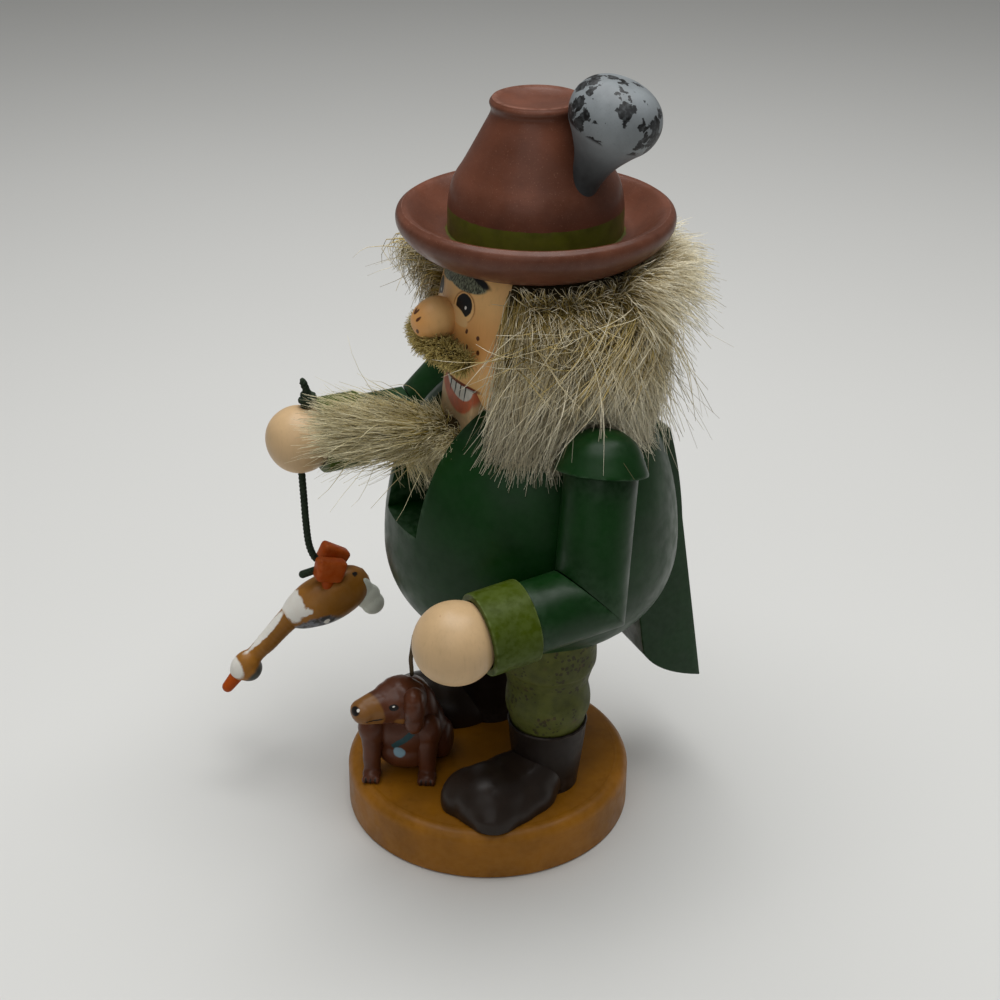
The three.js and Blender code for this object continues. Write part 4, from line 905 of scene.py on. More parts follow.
def face_paint(finish, shade):
    where = finish.shaken(1.6, 0.45)
    blush, rings, fill, eyes, whites, glints, brows, ends, dots = ([] for _ in range(9))
    for sign in SIDES.values():
        side = EYE_ANGLE * sign
        lids = (EYE_ANGLE - 4) * sign
        turn = math.radians(EYE_ANGLE) * sign
        blush.append((on_head(27 * sign, 175), (11, 11, 8), LEVEL, 0.7))
        rings.append((on_head(side, EYE_Z - 0.5), (4.7, 4, 4.8), (0, 0, turn), 0.08))
        fill.append((on_head(side, EYE_Z - 0.7), (4.25, 4, 4.5), (0, 0, turn), 0.05))
        eyes.append((on_head(side, EYE_Z), (3.45, 4, 3.4), (0, 0, turn), 0.05))
        whites.append((on_head(lids, EYE_Z - 3.7), (4.8, 4, 2.2), (0, 0.38 * sign, turn), 0.08))
        glints.append((on_head(side + 2, EYE_Z - 0.5), (0.4, 3, 0.55), (0, 0, turn), 0.2))
        brows.append((on_head(12 * sign, 191), (9.8, 4.6, 3.0), (0, 0.05 * sign, turn), 0.08))
        # A black wedge under the brim, above each brow's outer end: a painted shadow of the brim.
        ends.append((on_head(27 * sign, 192), (3.8, 4, 1.0), (0, 0.34 * sign, 0.5 * sign), 0.3))
        for angle, z in FRECKLES:
            lean = (0, 0.2, math.radians(angle) * sign)
            dots.append((on_head(angle * sign, z), (0.55, 2, 0.85), lean, 0.2))
    for spot in blush:
        shade = finish.mix(finish.math("MULTIPLY", finish.dab(where, *spot), 0.55), shade, BLUSH)
    shade = finish.paint(shade, where, TAN_LINE, rings)
    shade = finish.paint(shade, where, FACE, fill)
    shade = finish.paint(shade, where, BLACK, eyes)
    shade = finish.paint(shade, where, CREAM, whites)
    shade = finish.paint(shade, where, WHITE, glints)
    hair_line = finish.span(finish.noise(0.35, 2, (1, 1, 8)), 0.42, 0.6)
    brow_tint = finish.mix(hair_line, tinted(BROW, 0.3), tinted(BROW, 1.5))
    shade = finish.paint(shade, where, brow_tint, brows)
    # Paints the brim's shadow above the brows.
    shade = finish.paint(shade, where, BLACK, ends)
    shade = finish.paint(shade, where, FRECKLE, dots)
    return finish.paint(shade, where, LIP, [((0, -12, MOUTH_ROOF), (13.5, 10, 1.5), LEVEL, 0.15)])


def nose_paint(finish, shade):
    where = finish.shaken(1.2, 0.3)
    tip = finish.dab(where, (0, -25.5, 178), (8, 6, 8), LEVEL, 0.6)
    shade = finish.mix(finish.math("MULTIPLY", tip, 0.5), shade, BLUSH)
    strokes = []
    for sign in SIDES.values():
        for x, y, z in NOSE_FRECKLES:
            strokes.append(((x * sign, y, z), (0.5, 2.2, 0.95), (0, 0.5 * sign, 0), 0.2))
    return finish.paint(shade, where, FRECKLE, strokes)


def make_head():
    profile = [(0, NECK_Z)]
    profile += [(head_radius(z), z) for z in np.linspace(NECK_Z, HAT_SEAT, 41)]
    profile += [(0, HAT_SEAT)]
    head = lathe("head_barrel", profile, 128, (0, AXIS_Y, 0))
    notch = [(-FAR, NOTCH_FOOT), (MOUTH_BACK, NOTCH_FOOT), (MOUTH_BACK, MOUTH_ROOF), (-FAR, MOUTH_ROOF)]
    combine(head, board("notch", notch, SLOT_WIDTH, 0), "DIFFERENCE", 40)
    place(head, flesh_finish("face_paint", FACE, face_paint), nodes=["head"])
    root = Vector((0, AXIS_Y - head_radius(NOSE_Z), NOSE_Z))
    egg = [(5.2, NOSE_SUNK), (6.2, 0.6), (6.6, 2.6), (6.1, 5.4), (4.8, 8.2), (2.8, 10.2), (0, NOSE_LENGTH)]
    profile = [(0, NOSE_SUNK), *spline(egg, 8)[:-1], (0, NOSE_LENGTH)]
    nose = lathe("nose_egg", profile, 48, root, NOSE_WAY)
    place(nose, flesh_finish("nose_paint", tinted(FACE, 0.86), nose_paint), nodes=["nose"])


BAND_FOOT = 201.2
BAND_TOP = 209.3
BAND_FADE = 0.3
BAND_REACH = 27.2


def hat_finish():
    """Brown paint with a green band round the crown's foot."""
    def band(finish, shade):
        height = finish.part("Z")
        edge = finish.math("MULTIPLY", finish.math("SUBTRACT", finish.noise(2.5, 2), 0.5), 0.5 * MM)
        level = finish.math("ADD", height, edge)
        above = finish.span(level, BAND_FOOT * MM, (BAND_FOOT + BAND_FADE) * MM)
        below = finish.span(level, BAND_TOP * MM, (BAND_TOP - BAND_FADE) * MM)
        flat = finish.vector("MULTIPLY", finish.place, (1, 1, 0)).outputs[0]
        reach = finish.vector("DISTANCE", flat, (0, AXIS_Y * MM, 0))
        crown = finish.math("LESS_THAN", reach.outputs["Value"], BAND_REACH * MM)
        share = finish.math("MULTIPLY", finish.math("MULTIPLY", above, below), crown)
        speck = finish.span(finish.noise(0.45, 1), 0.66, 0.74, 0, 0.3)
        shade = finish.mix(speck, shade, HAT_SPECK)
        green = finish.mix(finish.span(finish.noise(6, 3), 0.3, 0.7), tinted(BAND, 0.75), tinted(BAND, 1.2))
        return finish.mix(share, shade, green)

    return painted("hat_paint", HAT, HAT_WEAR_AND_HIGHLIGHT, 0.36, 0.08, TURNED, extra=band)


BRUSH_ROOT = Vector((19.5, 19.9, 219.2))
BRUSH_WAY = Vector((4.9, 7, 20.3)).normalized()
BRUSH_FOOT = -6
BRUSH_TOP = 33.2
FLECK_SIZE = 5
FLECKS_FROM = 17


def brush_finish():
    """Grey paint with ragged black flecks on the ball's crown, and painted shade that darkens the stem and
    the ball's lower half towards the hat.
    """
    def flecks(finish, shade):
        where = finish.shaken(1.6, 2.6)
        cells = {"Scale": 1 / (FLECK_SIZE * MM), "Vector": where}
        made = finish.node("ShaderNodeTexVoronoi", cells, distance="MANHATTAN")
        chosen = finish.node("ShaderNodeSeparateColor", {0: made.outputs["Color"]})
        shown = finish.math("GREATER_THAN", chosen.outputs[0], 0.12)
        size = finish.math("ADD", finish.math("MULTIPLY", chosen.outputs[1], 0.3), 0.56)
        fleck = finish.span(finish.math("SUBTRACT", made.outputs["Distance"], size), 0.03, -0.03)
        height = finish.vector("DOT_PRODUCT", finish.place, BRUSH_WAY)
        along = finish.math("SUBTRACT", height.outputs["Value"], BRUSH_ROOT.dot(BRUSH_WAY) * MM)
        crown = finish.span(along, FLECKS_FROM * MM, (FLECKS_FROM + 1) * MM)
        share = finish.math("MULTIPLY", finish.math("MULTIPLY", fleck, shown), crown)
        # Painted shade: dark at the stem's foot, fading out below the ball's widest.
        shade = finish.mix(finish.span(along, 2 * MM, 20 * MM), tinted(BRUSH, 0.13), shade)
        ink = finish.mix(finish.span(finish.noise(1.2, 2), 0.45, 0.75), BLACK, tinted(BRUSH, 0.25))
        return finish.mix(share, shade, ink)

    return painted("brush_paint", BRUSH, BRUSH_WEAR_AND_HIGHLIGHT, 0.45, 0.05, extra=flecks)


def make_hat():
    foot = HAT_SEAT - HAT_BASE
    under = [(25, foot), (30, 3.8), (35, 6.3), (38.6, 9.2), (40.9, 12.2)]
    under += [(41.5, 14.6), (41, 16.5), (39.6, 17.6)]
    over = [(39.6, 17.6), (38, 17.2), (36, 15.6), (32.6, 12.4), (29.6, 10.5), (27, 10.2)]
    crown = [(26.2, 10.6), (26, 18.7), (24.6, 25.2), (21.2, 31), (16.2, 40.2)]
    crown += [(13.5, 45.6), (13.9, 48.3), (13.1, 49.7)]
    top = [(12.2, 49.9), (11, 49.3), (6, 48.4), (0, 48.2)]
    profile = [(0, foot), *spline(under, 6), *spline(over, 6)[1:], *spline(crown, 7), *top]
    hat = lathe("hat_turned", profile, 144, (0, AXIS_Y, HAT_BASE))
    place(hat, hat_finish(), nodes=["hat"])
    outline = [(4.2, BRUSH_FOOT), (4.3, 1), (5, 5), (6.6, 9.4), (9.4, 14), (12.4, 18.2), (13.5, 22.4)]
    outline += [(12.9, 26.4), (10.5, 30), (6.2, 32.4), (0, BRUSH_TOP)]
    profile = [(0, BRUSH_FOOT), *spline(outline, 7)[:-1], (0, BRUSH_TOP)]
    brush = lathe("brush_turned", profile, 72, BRUSH_ROOT, BRUSH_WAY)
    place(brush, brush_finish(), nodes=["hat_brush"])


make_head()
make_hat()


# Fur: strands over a mat whose dark colour is painted shade deep in the fur
HAIR_SEED = 11
MOUSTACHE_SEED = 23
BEARD_SEED = 31
FUR_STEPS = 6
STRAND = 0.155
ALL_ROUND = (0, 360)
FUR_CLEAR = 0.6
BRIM_FOOT = 28.5
BRIM_SLOPE = 0.6
BRIM_EDGE = 42.5
BRIM_WALL = 20
CAP_ROOM = np.array((15.2, 15.2, 14)) + FUR_CLEAR


def fur_finish(name, root, middle, tip):
    """Olive at the root, blond in the middle and pale at the tip, with darker and paler strands."""
    finish = Finish(name, 0.5, 0.3)
    along = finish.attribute("along")
    tone = finish.attribute("tone")
    shade = finish.mix(finish.span(along, 0.0, 0.45), root, middle)
    shade = finish.mix(finish.span(along, 0.3, 0.9), shade, tip)
    shade = finish.mix(finish.span(tone, 0.6, 1.0, 0, 0.7), shade, tip)
    shade = finish.mix(finish.span(tone, 0.5, 0.0, 0, 0.8), shade, root)
    patch = finish.span(finish.noise(9, 2), 0.4, 0.75, 0, 0.3)
    return finish.close(finish.mix(patch, shade, tinted(root, 2)))


def strands_piece(name, paths, width, rng, tones=(0, 1)):
    """Tapered three-sided strands along paths (strand, step, place)."""
    count, steps, _ = paths.shape
    ways = np.gradient(paths, axis=1)
    ways /= np.maximum(np.linalg.norm(ways, axis=2, keepdims=True), TINY)
    side = np.cross(ways, np.array([0.31, 0.59, 0.74]))
    side /= np.maximum(np.linalg.norm(side, axis=2, keepdims=True), TINY)
    other = np.cross(ways, side)
    along = np.linspace(0, 1, steps)
    thick = width * rng.uniform(0.6, 1.3, (count, 1)) * (1 - 0.6 * along**1.6)
    rings = []
    for angle in np.radians((0, 120, 240)):
        rings.append(paths + thick[..., None] * (math.cos(angle) * side + math.sin(angle) * other))
    points = np.stack(rings, axis=2).reshape(-1, 3)
    index = np.arange(count * steps * 3).reshape(count, steps, 3)
    low, high = index[:, :-1], index[:, 1:]
    quads = np.stack([low, np.roll(low, -1, 2), np.roll(high, -1, 2), high], -1).reshape(-1, 4)
    caps = np.concatenate([index[:, 0, ::-1], index[:, -1]])
    piece = mesh_piece(name, points, quads.tolist() + caps.tolist())
    piece.data.shade_smooth()
    tone = np.repeat(rng.uniform(*tones, count), steps * 3)
    store = {"along": np.tile(np.repeat(along, 3), count), "tone": tone, "edge": np.zeros(len(points))}
    for key, values in store.items():
        piece.data.attributes.new(key, "FLOAT", "POINT").data.foreach_set("value", values)
    return piece


def gather(paths, keys, guides, share):
    """Draws each strand's outer part towards the nearest of the first few strands, so that tufts form."""
    gaps = np.linalg.norm(keys[:, None, :] - keys[None, :guides, :], axis=2)
    lead = paths[gaps.argmin(axis=1)]
    along = np.linspace(0, 1, paths.shape[1])[None, :, None] ** 1.5
    return paths + (lead - paths) * along * share


def sway(rng, count, steps, size):
    """A slow sideways wander for each strand that grows towards its tip."""
    along = np.linspace(0, 1, steps)[None, :, None]
    phase = rng.uniform(0, 2 * math.pi, (count, 1, 3))
    waves = rng.uniform(0.5, 1.4, (count, 1, 3))
    reach = rng.normal(0, size, (count, 1, 3))
    bend = rng.normal(0, size * 0.6, (count, 1, 3))
    return reach * along * np.sin(phase + waves * math.pi * along) + bend * along**2


def push_out(paths):
    """Keeps strands outside the head, the coat and the shoulder caps, and under the brim."""
    x, y, z = paths[..., 0], paths[..., 1] - AXIS_Y, paths[..., 2]
    reach = np.maximum(np.hypot(x, y), TINY)
    rise = np.clip((z - COAT_WIDEST) / COAT_UPPER, 0, 1)
    coat = COAT_RADIUS * (1 - rise**2) ** (1 / COAT_FULLNESS)
    least = np.where(z > NECK_Z, head_radius(z), coat) + FUR_CLEAR
    factor = np.maximum(1, least / reach)
    out = reach * factor
    brim = HAT_SEAT - FUR_CLEAR + BRIM_SLOPE * np.maximum(0, out - BRIM_FOOT)
    brim = brim + np.maximum(0, BRIM_WALL * (out - BRIM_EDGE))
    made = np.stack([x * factor, y * factor + AXIS_Y, np.minimum(z, brim)], -1)
    for arm in ARMS.values():
        shoulder = np.array(arm["shoulder"])
        offset = made - shoulder
        depth = np.linalg.norm(offset / CAP_ROOM, axis=2, keepdims=True)
        inside = (depth < 1) & (offset[..., 2:] > -1)
        made = np.where(inside, shoulder + offset / np.maximum(depth, 0.2), made)
    return made


def polar(angle, reach, z):
    return np.stack([reach * np.sin(angle), AXIS_Y - reach * np.cos(angle), z], -1)


HAIR_FOOT = 158.0
HAIR_RISE = 33.5
TURNS = (40, 60, 80, 110, 150, 180)
NEAR_HAIR = {
    "bulge": (4, 7, 10, 11, 13, 14),
    "fall": (42, 46, 45, 45, 43, 40),
    "sweep": (-2, -3, -3, 2, 3, 0),
    "low": 0.4,
    "rise": 1.0,
}
FAR_HAIR = {
    "bulge": (24, 24, 17, 13, 13, 14),
    "fall": (8, 12, 26, 36, 38, 38),
    "sweep": (0, 0, 0, 3, 3, 0),
    "low": 0.12,
    "rise": 3.0,
}


def hair_paths(rng, count, start, end, shape, loose=0.0):
    """Hair from a strip round the head that swells under the brim and hangs to the shoulders."""
    angle = np.radians(rng.uniform(start, end, count))
    height = rng.uniform(0, 1, count) ** 0.6
    z = HAIR_FOOT + HAIR_RISE * height
    root = head_radius(z) + 0.3
    turn = np.degrees(np.abs(angle))
    share = shape["low"] + (1 - shape["low"]) * height ** shape["rise"]
    swell = np.interp(turn, TURNS, shape["bulge"]) * share * rng.uniform(0.45, 1.25, count)
    drop = np.interp(turn, TURNS, shape["fall"]) * (0.5 + 0.5 * height) * rng.uniform(0.36, 1.14, count)
    slide = np.interp(turn, TURNS, shape["sweep"]) * rng.normal(1, 0.4, count)
    lean = rng.normal(0, 5 + 6 * loose, count)
    swell = swell * (1 + loose * rng.uniform(0.3, 1.6, count))
    straight = np.clip(rng.normal(0.2, 0.3, count) + loose, 0, 1)[:, None]
    t = np.linspace(0, 1, FUR_STEPS)[None, :]
    swing = np.sin(np.minimum(1, t / 0.6) * math.pi / 2) - 0.22 * t**3
    out = root[:, None] + swell[:, None] * (swing * (1 - straight) + 1.25 * t * straight)
    lift = 5 * height[:, None] * np.sin(math.pi * t) * (1 - t) * (1 - straight)
    fallen = z[:, None] + lift - drop[:, None] * t**1.4
    aside = slide[:, None] * t**3.5 + lean[:, None] * t**1.5
    drift = angle[:, None] + np.sign(angle)[:, None] * aside / 40
    paths = polar(drift, out, fallen) + sway(rng, count, FUR_STEPS, 1.8 - 1.2 * loose)
    keys = np.stack([angle * 35, z], -1)
    return push_out(gather(paths, keys, max(20, count // 20), 0.4 * (1 - loose)))


def crossing_paths(rng, count, turns, drift, drop, out):
    """Loose strands that lie across the hanging ones."""
    def draw(low, high):
        return rng.uniform(low, high, count)[:, None]

    t = np.linspace(0, 1, FUR_STEPS)[None, :]
    angle = np.radians(draw(*turns) + draw(*drift) * t)
    reach = draw(*out) + 2.5 * np.sin(math.pi * t) + draw(0, 4) * t
    z = draw(172, 189) - draw(*drop) * t**1.3
    return push_out(polar(angle, reach, z) + sway(rng, count, FUR_STEPS, 1.5))


def mat_piece(name, start, end, grow):
    """The felted ground that the hair stands on, dark with painted shade deep in the fur."""
    angles = np.radians(np.linspace(start, end, 60))
    rows = [(HAT_SEAT - 0.2, 1.4), (189, grow), (172, grow + 2), (162, grow + 1), (156, 0.8)]
    rows += [(z, 0.25) for z, _ in rows[::-1]]
    points = [polar(angle, head_radius(z) + out, z) for angle in angles for z, out in rows]
    return soften(mesh_piece(name, points, tube_faces(len(angles), len(rows))), 60)


# The mats' dark colour is painted shade for the depth of the fur; their paler edges are wear and a painted
# highlight.
fur_ground_shade_paint = painted("fur_ground_shade_paint", FUR_GROUND_SHADE, FUR_GROUND_SHADE_WEAR_AND_HIGHLIGHT, 0.8, 0.0)

# How fur grows on a roll: what bush takes after the roll and its radii
FUZZ = (2600, (0, 1), (-60, 150), (0, 0, -0.1), 0.8, 0.7, (6, 15), (0, 0, -0.3))
TUFT = (4200, (0, 1), (60, 120), (0, 0, 0.5), 1.0, 0.38, (10, 27), (0, 0, -0.35))
BRISTLE = (5200, (0, 1), ALL_ROUND, (0, -0.2, -0.1), 1.0, 0.9, (1.6, 4.2), (0, 0, -0.1))
ROLL_POINTS = 40


def make_hair():
    rng = np.random.default_rng(HAIR_SEED)
    fur = fur_finish("hair_fur", FUR_ROOT, FUR_MID, FUR_TIP)
    place(mat_piece("hair_mat", 50, 308, 3), fur_ground_shade_paint, nodes=["hair"])
    sets = {
        "hair_near_front": (5200, 48, 88, NEAR_HAIR),
        "hair_near_side": (5200, 84, 128, NEAR_HAIR),
        "hair_near_back": (3400, 124, 145, NEAR_HAIR),
        "hair_far_front": (2600, -95, -46, FAR_HAIR),
        "hair_far_back": (4200, -146, -90, FAR_HAIR),
        "hair_loose_near": (480, 75, 134, NEAR_HAIR, 0.8),
        "hair_loose_far": (150, -142, -44, FAR_HAIR, 0.5),
    }
    for name, values in sets.items():
        place(strands_piece(name, hair_paths(rng, *values), STRAND, rng), fur)
    crossing = {
        "hair_crossing": (170, (55, 150), (-35, 35), (-4, 30), (37, 41)),
        "hair_swath": (170, (96, 130), (-30, -10), (14, 26), (38, 41)),
    }
    for name, values in crossing.items():
        strands = strands_piece(name, crossing_paths(rng, *values), STRAND, rng, (0.35, 1))
        place(strands, fur)
    rolls = {
        "hair_fuzz": ((60, 300), 32.0, 187.0, 2.5, FUZZ, (0.1, 0.9)),
        "hair_tuft": ((112, 250), 31.0, 188.5, 2.0, TUFT, (0.2, 0.95)),
    }
    for name, (turns, reach, z, radius, growth, tones) in rolls.items():
        angles = np.radians(np.linspace(*turns, ROLL_POINTS))
        ring = polar(angles, np.full(ROLL_POINTS, reach), np.full(ROLL_POINTS, z))
        paths = bush(rng, ring, np.full(ROLL_POINTS, radius), *growth)
        place(strands_piece(name, push_out(paths), STRAND, rng, tones), fur)
    for name, start, end in (("hair_middle_left", 144, 180), ("hair_middle_right", 180, 216)):
        paths = hair_paths(rng, 4200, start, end, NEAR_HAIR)
        back = place(strands_piece(name, paths, STRAND, rng), fur)
        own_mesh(back)


def bush(rng, roll, radii, count, roots, around, lead, spread, loose, length, bend):
    """Fur on a felted roll: where its roots are, round which angles, where it leads and how loose it is."""
    marks = np.linspace(0, 1, len(roll))
    share = rng.uniform(*roots, count)
    middle = np.stack([np.interp(share, marks, roll[:, k]) for k in range(3)], -1)
    slope = np.gradient(roll, axis=0)
    way = np.stack([np.interp(share, marks, slope[:, k]) for k in range(3)], -1)
    way /= np.linalg.norm(way, axis=1, keepdims=True)
    side = np.cross(way, np.array(UP))
    side /= np.linalg.norm(side, axis=1, keepdims=True)
    turn = np.radians(rng.uniform(*around, count))[:, None]
    out = np.cos(turn) * np.cross(side, way) + np.sin(turn) * side
    root = middle + 0.75 * out * np.interp(share, marks, radii)[:, None]
    heading = np.array(lead) + spread * out + rng.normal(0, loose, (count, 3))
    heading /= np.linalg.norm(heading, axis=1, keepdims=True)
    reach = rng.uniform(*length, count)[:, None, None]
    t = np.linspace(0, 1, FUR_STEPS)[None, :, None]
    paths = root[:, None, :] + reach * (heading[:, None, :] * t + np.array(bend) * t**2)
    paths = paths + sway(rng, count, FUR_STEPS, 0.07 * sum(length) / 2)
    return gather(paths, root, max(20, count // 14), 0.3)


MOUSTACHE_POINTS = 15
MOUSTACHE_Z = 171
MOUSTACHE_RADIUS = 3.9


def make_moustache():
    rng = np.random.default_rng(MOUSTACHE_SEED)
    turns = np.radians(np.linspace(-46, 29, MOUSTACHE_POINTS))
    reach = np.full(MOUSTACHE_POINTS, head_radius(MOUSTACHE_Z - 1.5) + 4.4)
    roll = polar(turns, reach, MOUSTACHE_Z - 8 * turns**2)
    taper = np.clip(1 - np.linspace(-0.94, 0.94, MOUSTACHE_POINTS) ** 4, 0.1, 1)
    radii = MOUSTACHE_RADIUS * np.sqrt(taper)
    paths = bush(rng, roll, radii, *BRISTLE)
    fur = fur_finish("moustache_fur", FUR_ROOT, MOUSTACHE_MID, MOUSTACHE_TIP)
    place(strands_piece("moustache_strands", push_out(paths), STRAND, rng), fur)
    lumps = [lump(spot, (size, size, size)) for spot, size in zip(roll[2:-2], 0.85 * radii[2:-2])]
    place(blob("moustache_mat", lumps, 0.6, 4), fur_ground_shade_paint, nodes=["moustache"])


BEARD_ROLL = np.array([(2, -15.5, 141), (0, -22, 142), (-2.5, -29, 142.5), (-5, -36, 143)])
BEARD_RADII = (6.2, 5.0, 3.4, 1.6)
JAW_ROLL = np.array([(x, -14.6, 139.4) for x in (10.6, 8.4, 3, -3, -8.4, -10.6)])
JAW_RADII = (1.4, 4.4, 5, 5, 4.4, 1.4)
BEARD_ROOM = SLOT_WIDTH / 2 - 0.7
BEARD_CLEAR_Y = -37.0


def make_beard():
    rng = np.random.default_rng(BEARD_SEED)
    fur = fur_finish("beard_fur", BEARD_ROOT, BEARD_MID, BEARD_TIP)
    ahead = (-0.16, -1, 0.12)
    jobs = {
        "beard_combed": (3600, (0, 0.9), ALL_ROUND, ahead, 0.13, 0.18, (10, 30), (0, 0, 0.02)),
        "beard_curls": (4200, (0, 0.7), ALL_ROUND, ahead, 0.5, 0.6, (4, 10), (0, 0, -0.1)),
        "beard_jaw": (3200, (0, 1), ALL_ROUND, (0, -0.8, -0.3), 0.7, 0.6, (3, 7.5), (0, 0, -0.2)),
        "beard_lower": (360, (0.1, 0.7), (110, 250), (0.15, 0.3, -0.9), 0.2, 0.3, (9, 20), (0, 0.1, 0)),
        "beard_wisps": (110, (0.1, 1), ALL_ROUND, ahead, 0.35, 0.4, (16, 32), (0, 0, -0.1)),
    }
    for name, growth in jobs.items():
        tones = (0.6, 1) if name in ("beard_lower", "beard_wisps") else (0, 1)
        if name == "beard_jaw":
            paths = bush(rng, JAW_ROLL, JAW_RADII, *growth)
        else:
            paths = bush(rng, BEARD_ROLL, BEARD_RADII, *growth)
            beside_coat = paths[..., 1] > BEARD_CLEAR_Y
            within = np.clip(paths[..., 0], -BEARD_ROOM, BEARD_ROOM)
            paths[..., 0] = np.where(beside_coat, within, paths[..., 0])
        strands = strands_piece(name, paths, 0.8 * STRAND, rng, tones)
        place(strands, fur, "lever")
        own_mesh(strands)
    lumps = []
    for low, high, start, end in zip(BEARD_ROLL, BEARD_ROLL[1:], BEARD_RADII, BEARD_RADII[1:]):
        lumps += limb(low, high, 0.85 * start, 0.85 * end, 5)
    for spot, size in zip(JAW_ROLL[1:-1], JAW_RADII[1:-1]):
        lumps.append(lump(spot, (0.7 * size, 0.85 * size, 0.85 * size)))
    mat = place(blob("beard_mat", lumps, 0.7, 6), fur_ground_shade_paint, "lever", ["beard"])
    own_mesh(mat)


make_hair()
make_moustache()
make_beard()

# Dog
DOG_TURN = 1.08
DOG_PLACE = Vector((0.1, -32.2, 17))
DOG_FRAME = Matrix.Translation(DOG_PLACE * MM) @ Matrix.Rotation(DOG_TURN, 4, "Z")
MUZZLE_WAY = Vector((-0.8, -0.58, 0.02)).normalized()
SKULL = Vector((1.2, -2, 30.6))
MUZZLE_TIP = SKULL + 13 * MUZZLE_WAY + 0.4 * UP
HEAD_LEFT = UP.cross(MUZZLE_WAY).normalized()
COLLAR = [(6.4, -27.6, 38), (5.8, -30.1, 35.6), (5.2, -32.3, 33.4), (3.9, -34.3, 31.6), (2, -35.7, 29.1)]
TAG_PLACE = (3.1, -33.6, 27.7)
FORELEG_X = 9.2


def dog_spot(point):
    return (DOG_FRAME @ (Vector(point) * MM)) / MM


def dog_finish(name, marks=None):
    return painted(name, DOG, DOG_WEAR_AND_HIGHLIGHT, 0.38, 0.12, wear_and_highlight_share=0.5, extra=marks)


def dog_head_paint(finish, shade):
    where = finish.shaken(1.5, 0.4)
    turn = (0, 0, DOG_TURN)
    muzzle = [(dog_spot(MUZZLE_TIP - 0.6 * UP), (6.5, 6.5, 6), turn, 0.06)]
    muzzle += [(dog_spot(SKULL + 6 * HEAD_LEFT + Vector((-3, -4, -4.4))), (3, 3, 2.2), turn, 0.12)]
    shade = finish.paint(shade, where, DOG_TAN, muzzle)
    eyes, glints = [], []
    for sign in SIDES.values():
        eye = SKULL + 6.4 * MUZZLE_WAY + sign * 6.2 * HEAD_LEFT + 2.6 * UP
        eyes.append((dog_spot(eye), (1.6, 1.6, 1.1), turn, 0.12))
        glints.append((dog_spot(eye + 0.4 * UP), (0.4, 0.4, 0.25), turn, 0.2))
        for step in range(4):
            lip = MUZZLE_TIP + (1.6 - 1.3 * step) * MUZZLE_WAY + sign * 4.6 * HEAD_LEFT - 1.6 * UP
            eyes.append((dog_spot(lip), (1.3, 1.3, 0.3), turn, 0.2))
    nose = MUZZLE_TIP + 4 * MUZZLE_WAY + 0.6 * HEAD_LEFT + 1.4 * UP
    eyes.append((dog_spot(nose), (2, 2, 1.6), turn, 0.12))
    glints.append((dog_spot(nose + 1.2 * HEAD_LEFT + 0.9 * UP), (0.6, 0.6, 0.55), turn, 0.2))
    shade = finish.paint(shade, where, BLACK, eyes)
    return finish.paint(shade, where, WHITE, glints)


def dog_body_paint(finish, shade):
    where = finish.shaken(1.5, 0.4)
    turn = (0, 0, DOG_TURN)
    collar = []
    for start, end in zip(COLLAR, COLLAR[1:]):
        for share in (0, 0.34, 0.67):
            collar.append((Vector(start).lerp(Vector(end), share), (1.1, 1.1, 1.1), turn, 0.15))
    shade = finish.paint(shade, where, DOG_COLLAR, collar)
    return finish.paint(shade, where, DOG_TAG, [(TAG_PLACE, (2, 2, 2), turn, 0.15)])


def paw_paint(finish, shade):
    where = finish.shaken(1.5, 0.2)
    claws = []
    for sign in SIDES.values():
        for x in (-1.6, 0, 1.6):
            claw = dog_spot((sign * FORELEG_X + x, -7.6, 1.2))
            claws.append((claw, (0.35, 1.6, 1.2), (0, 0, DOG_TURN), 0.2))
    return finish.paint(shade, where, BLACK, claws)


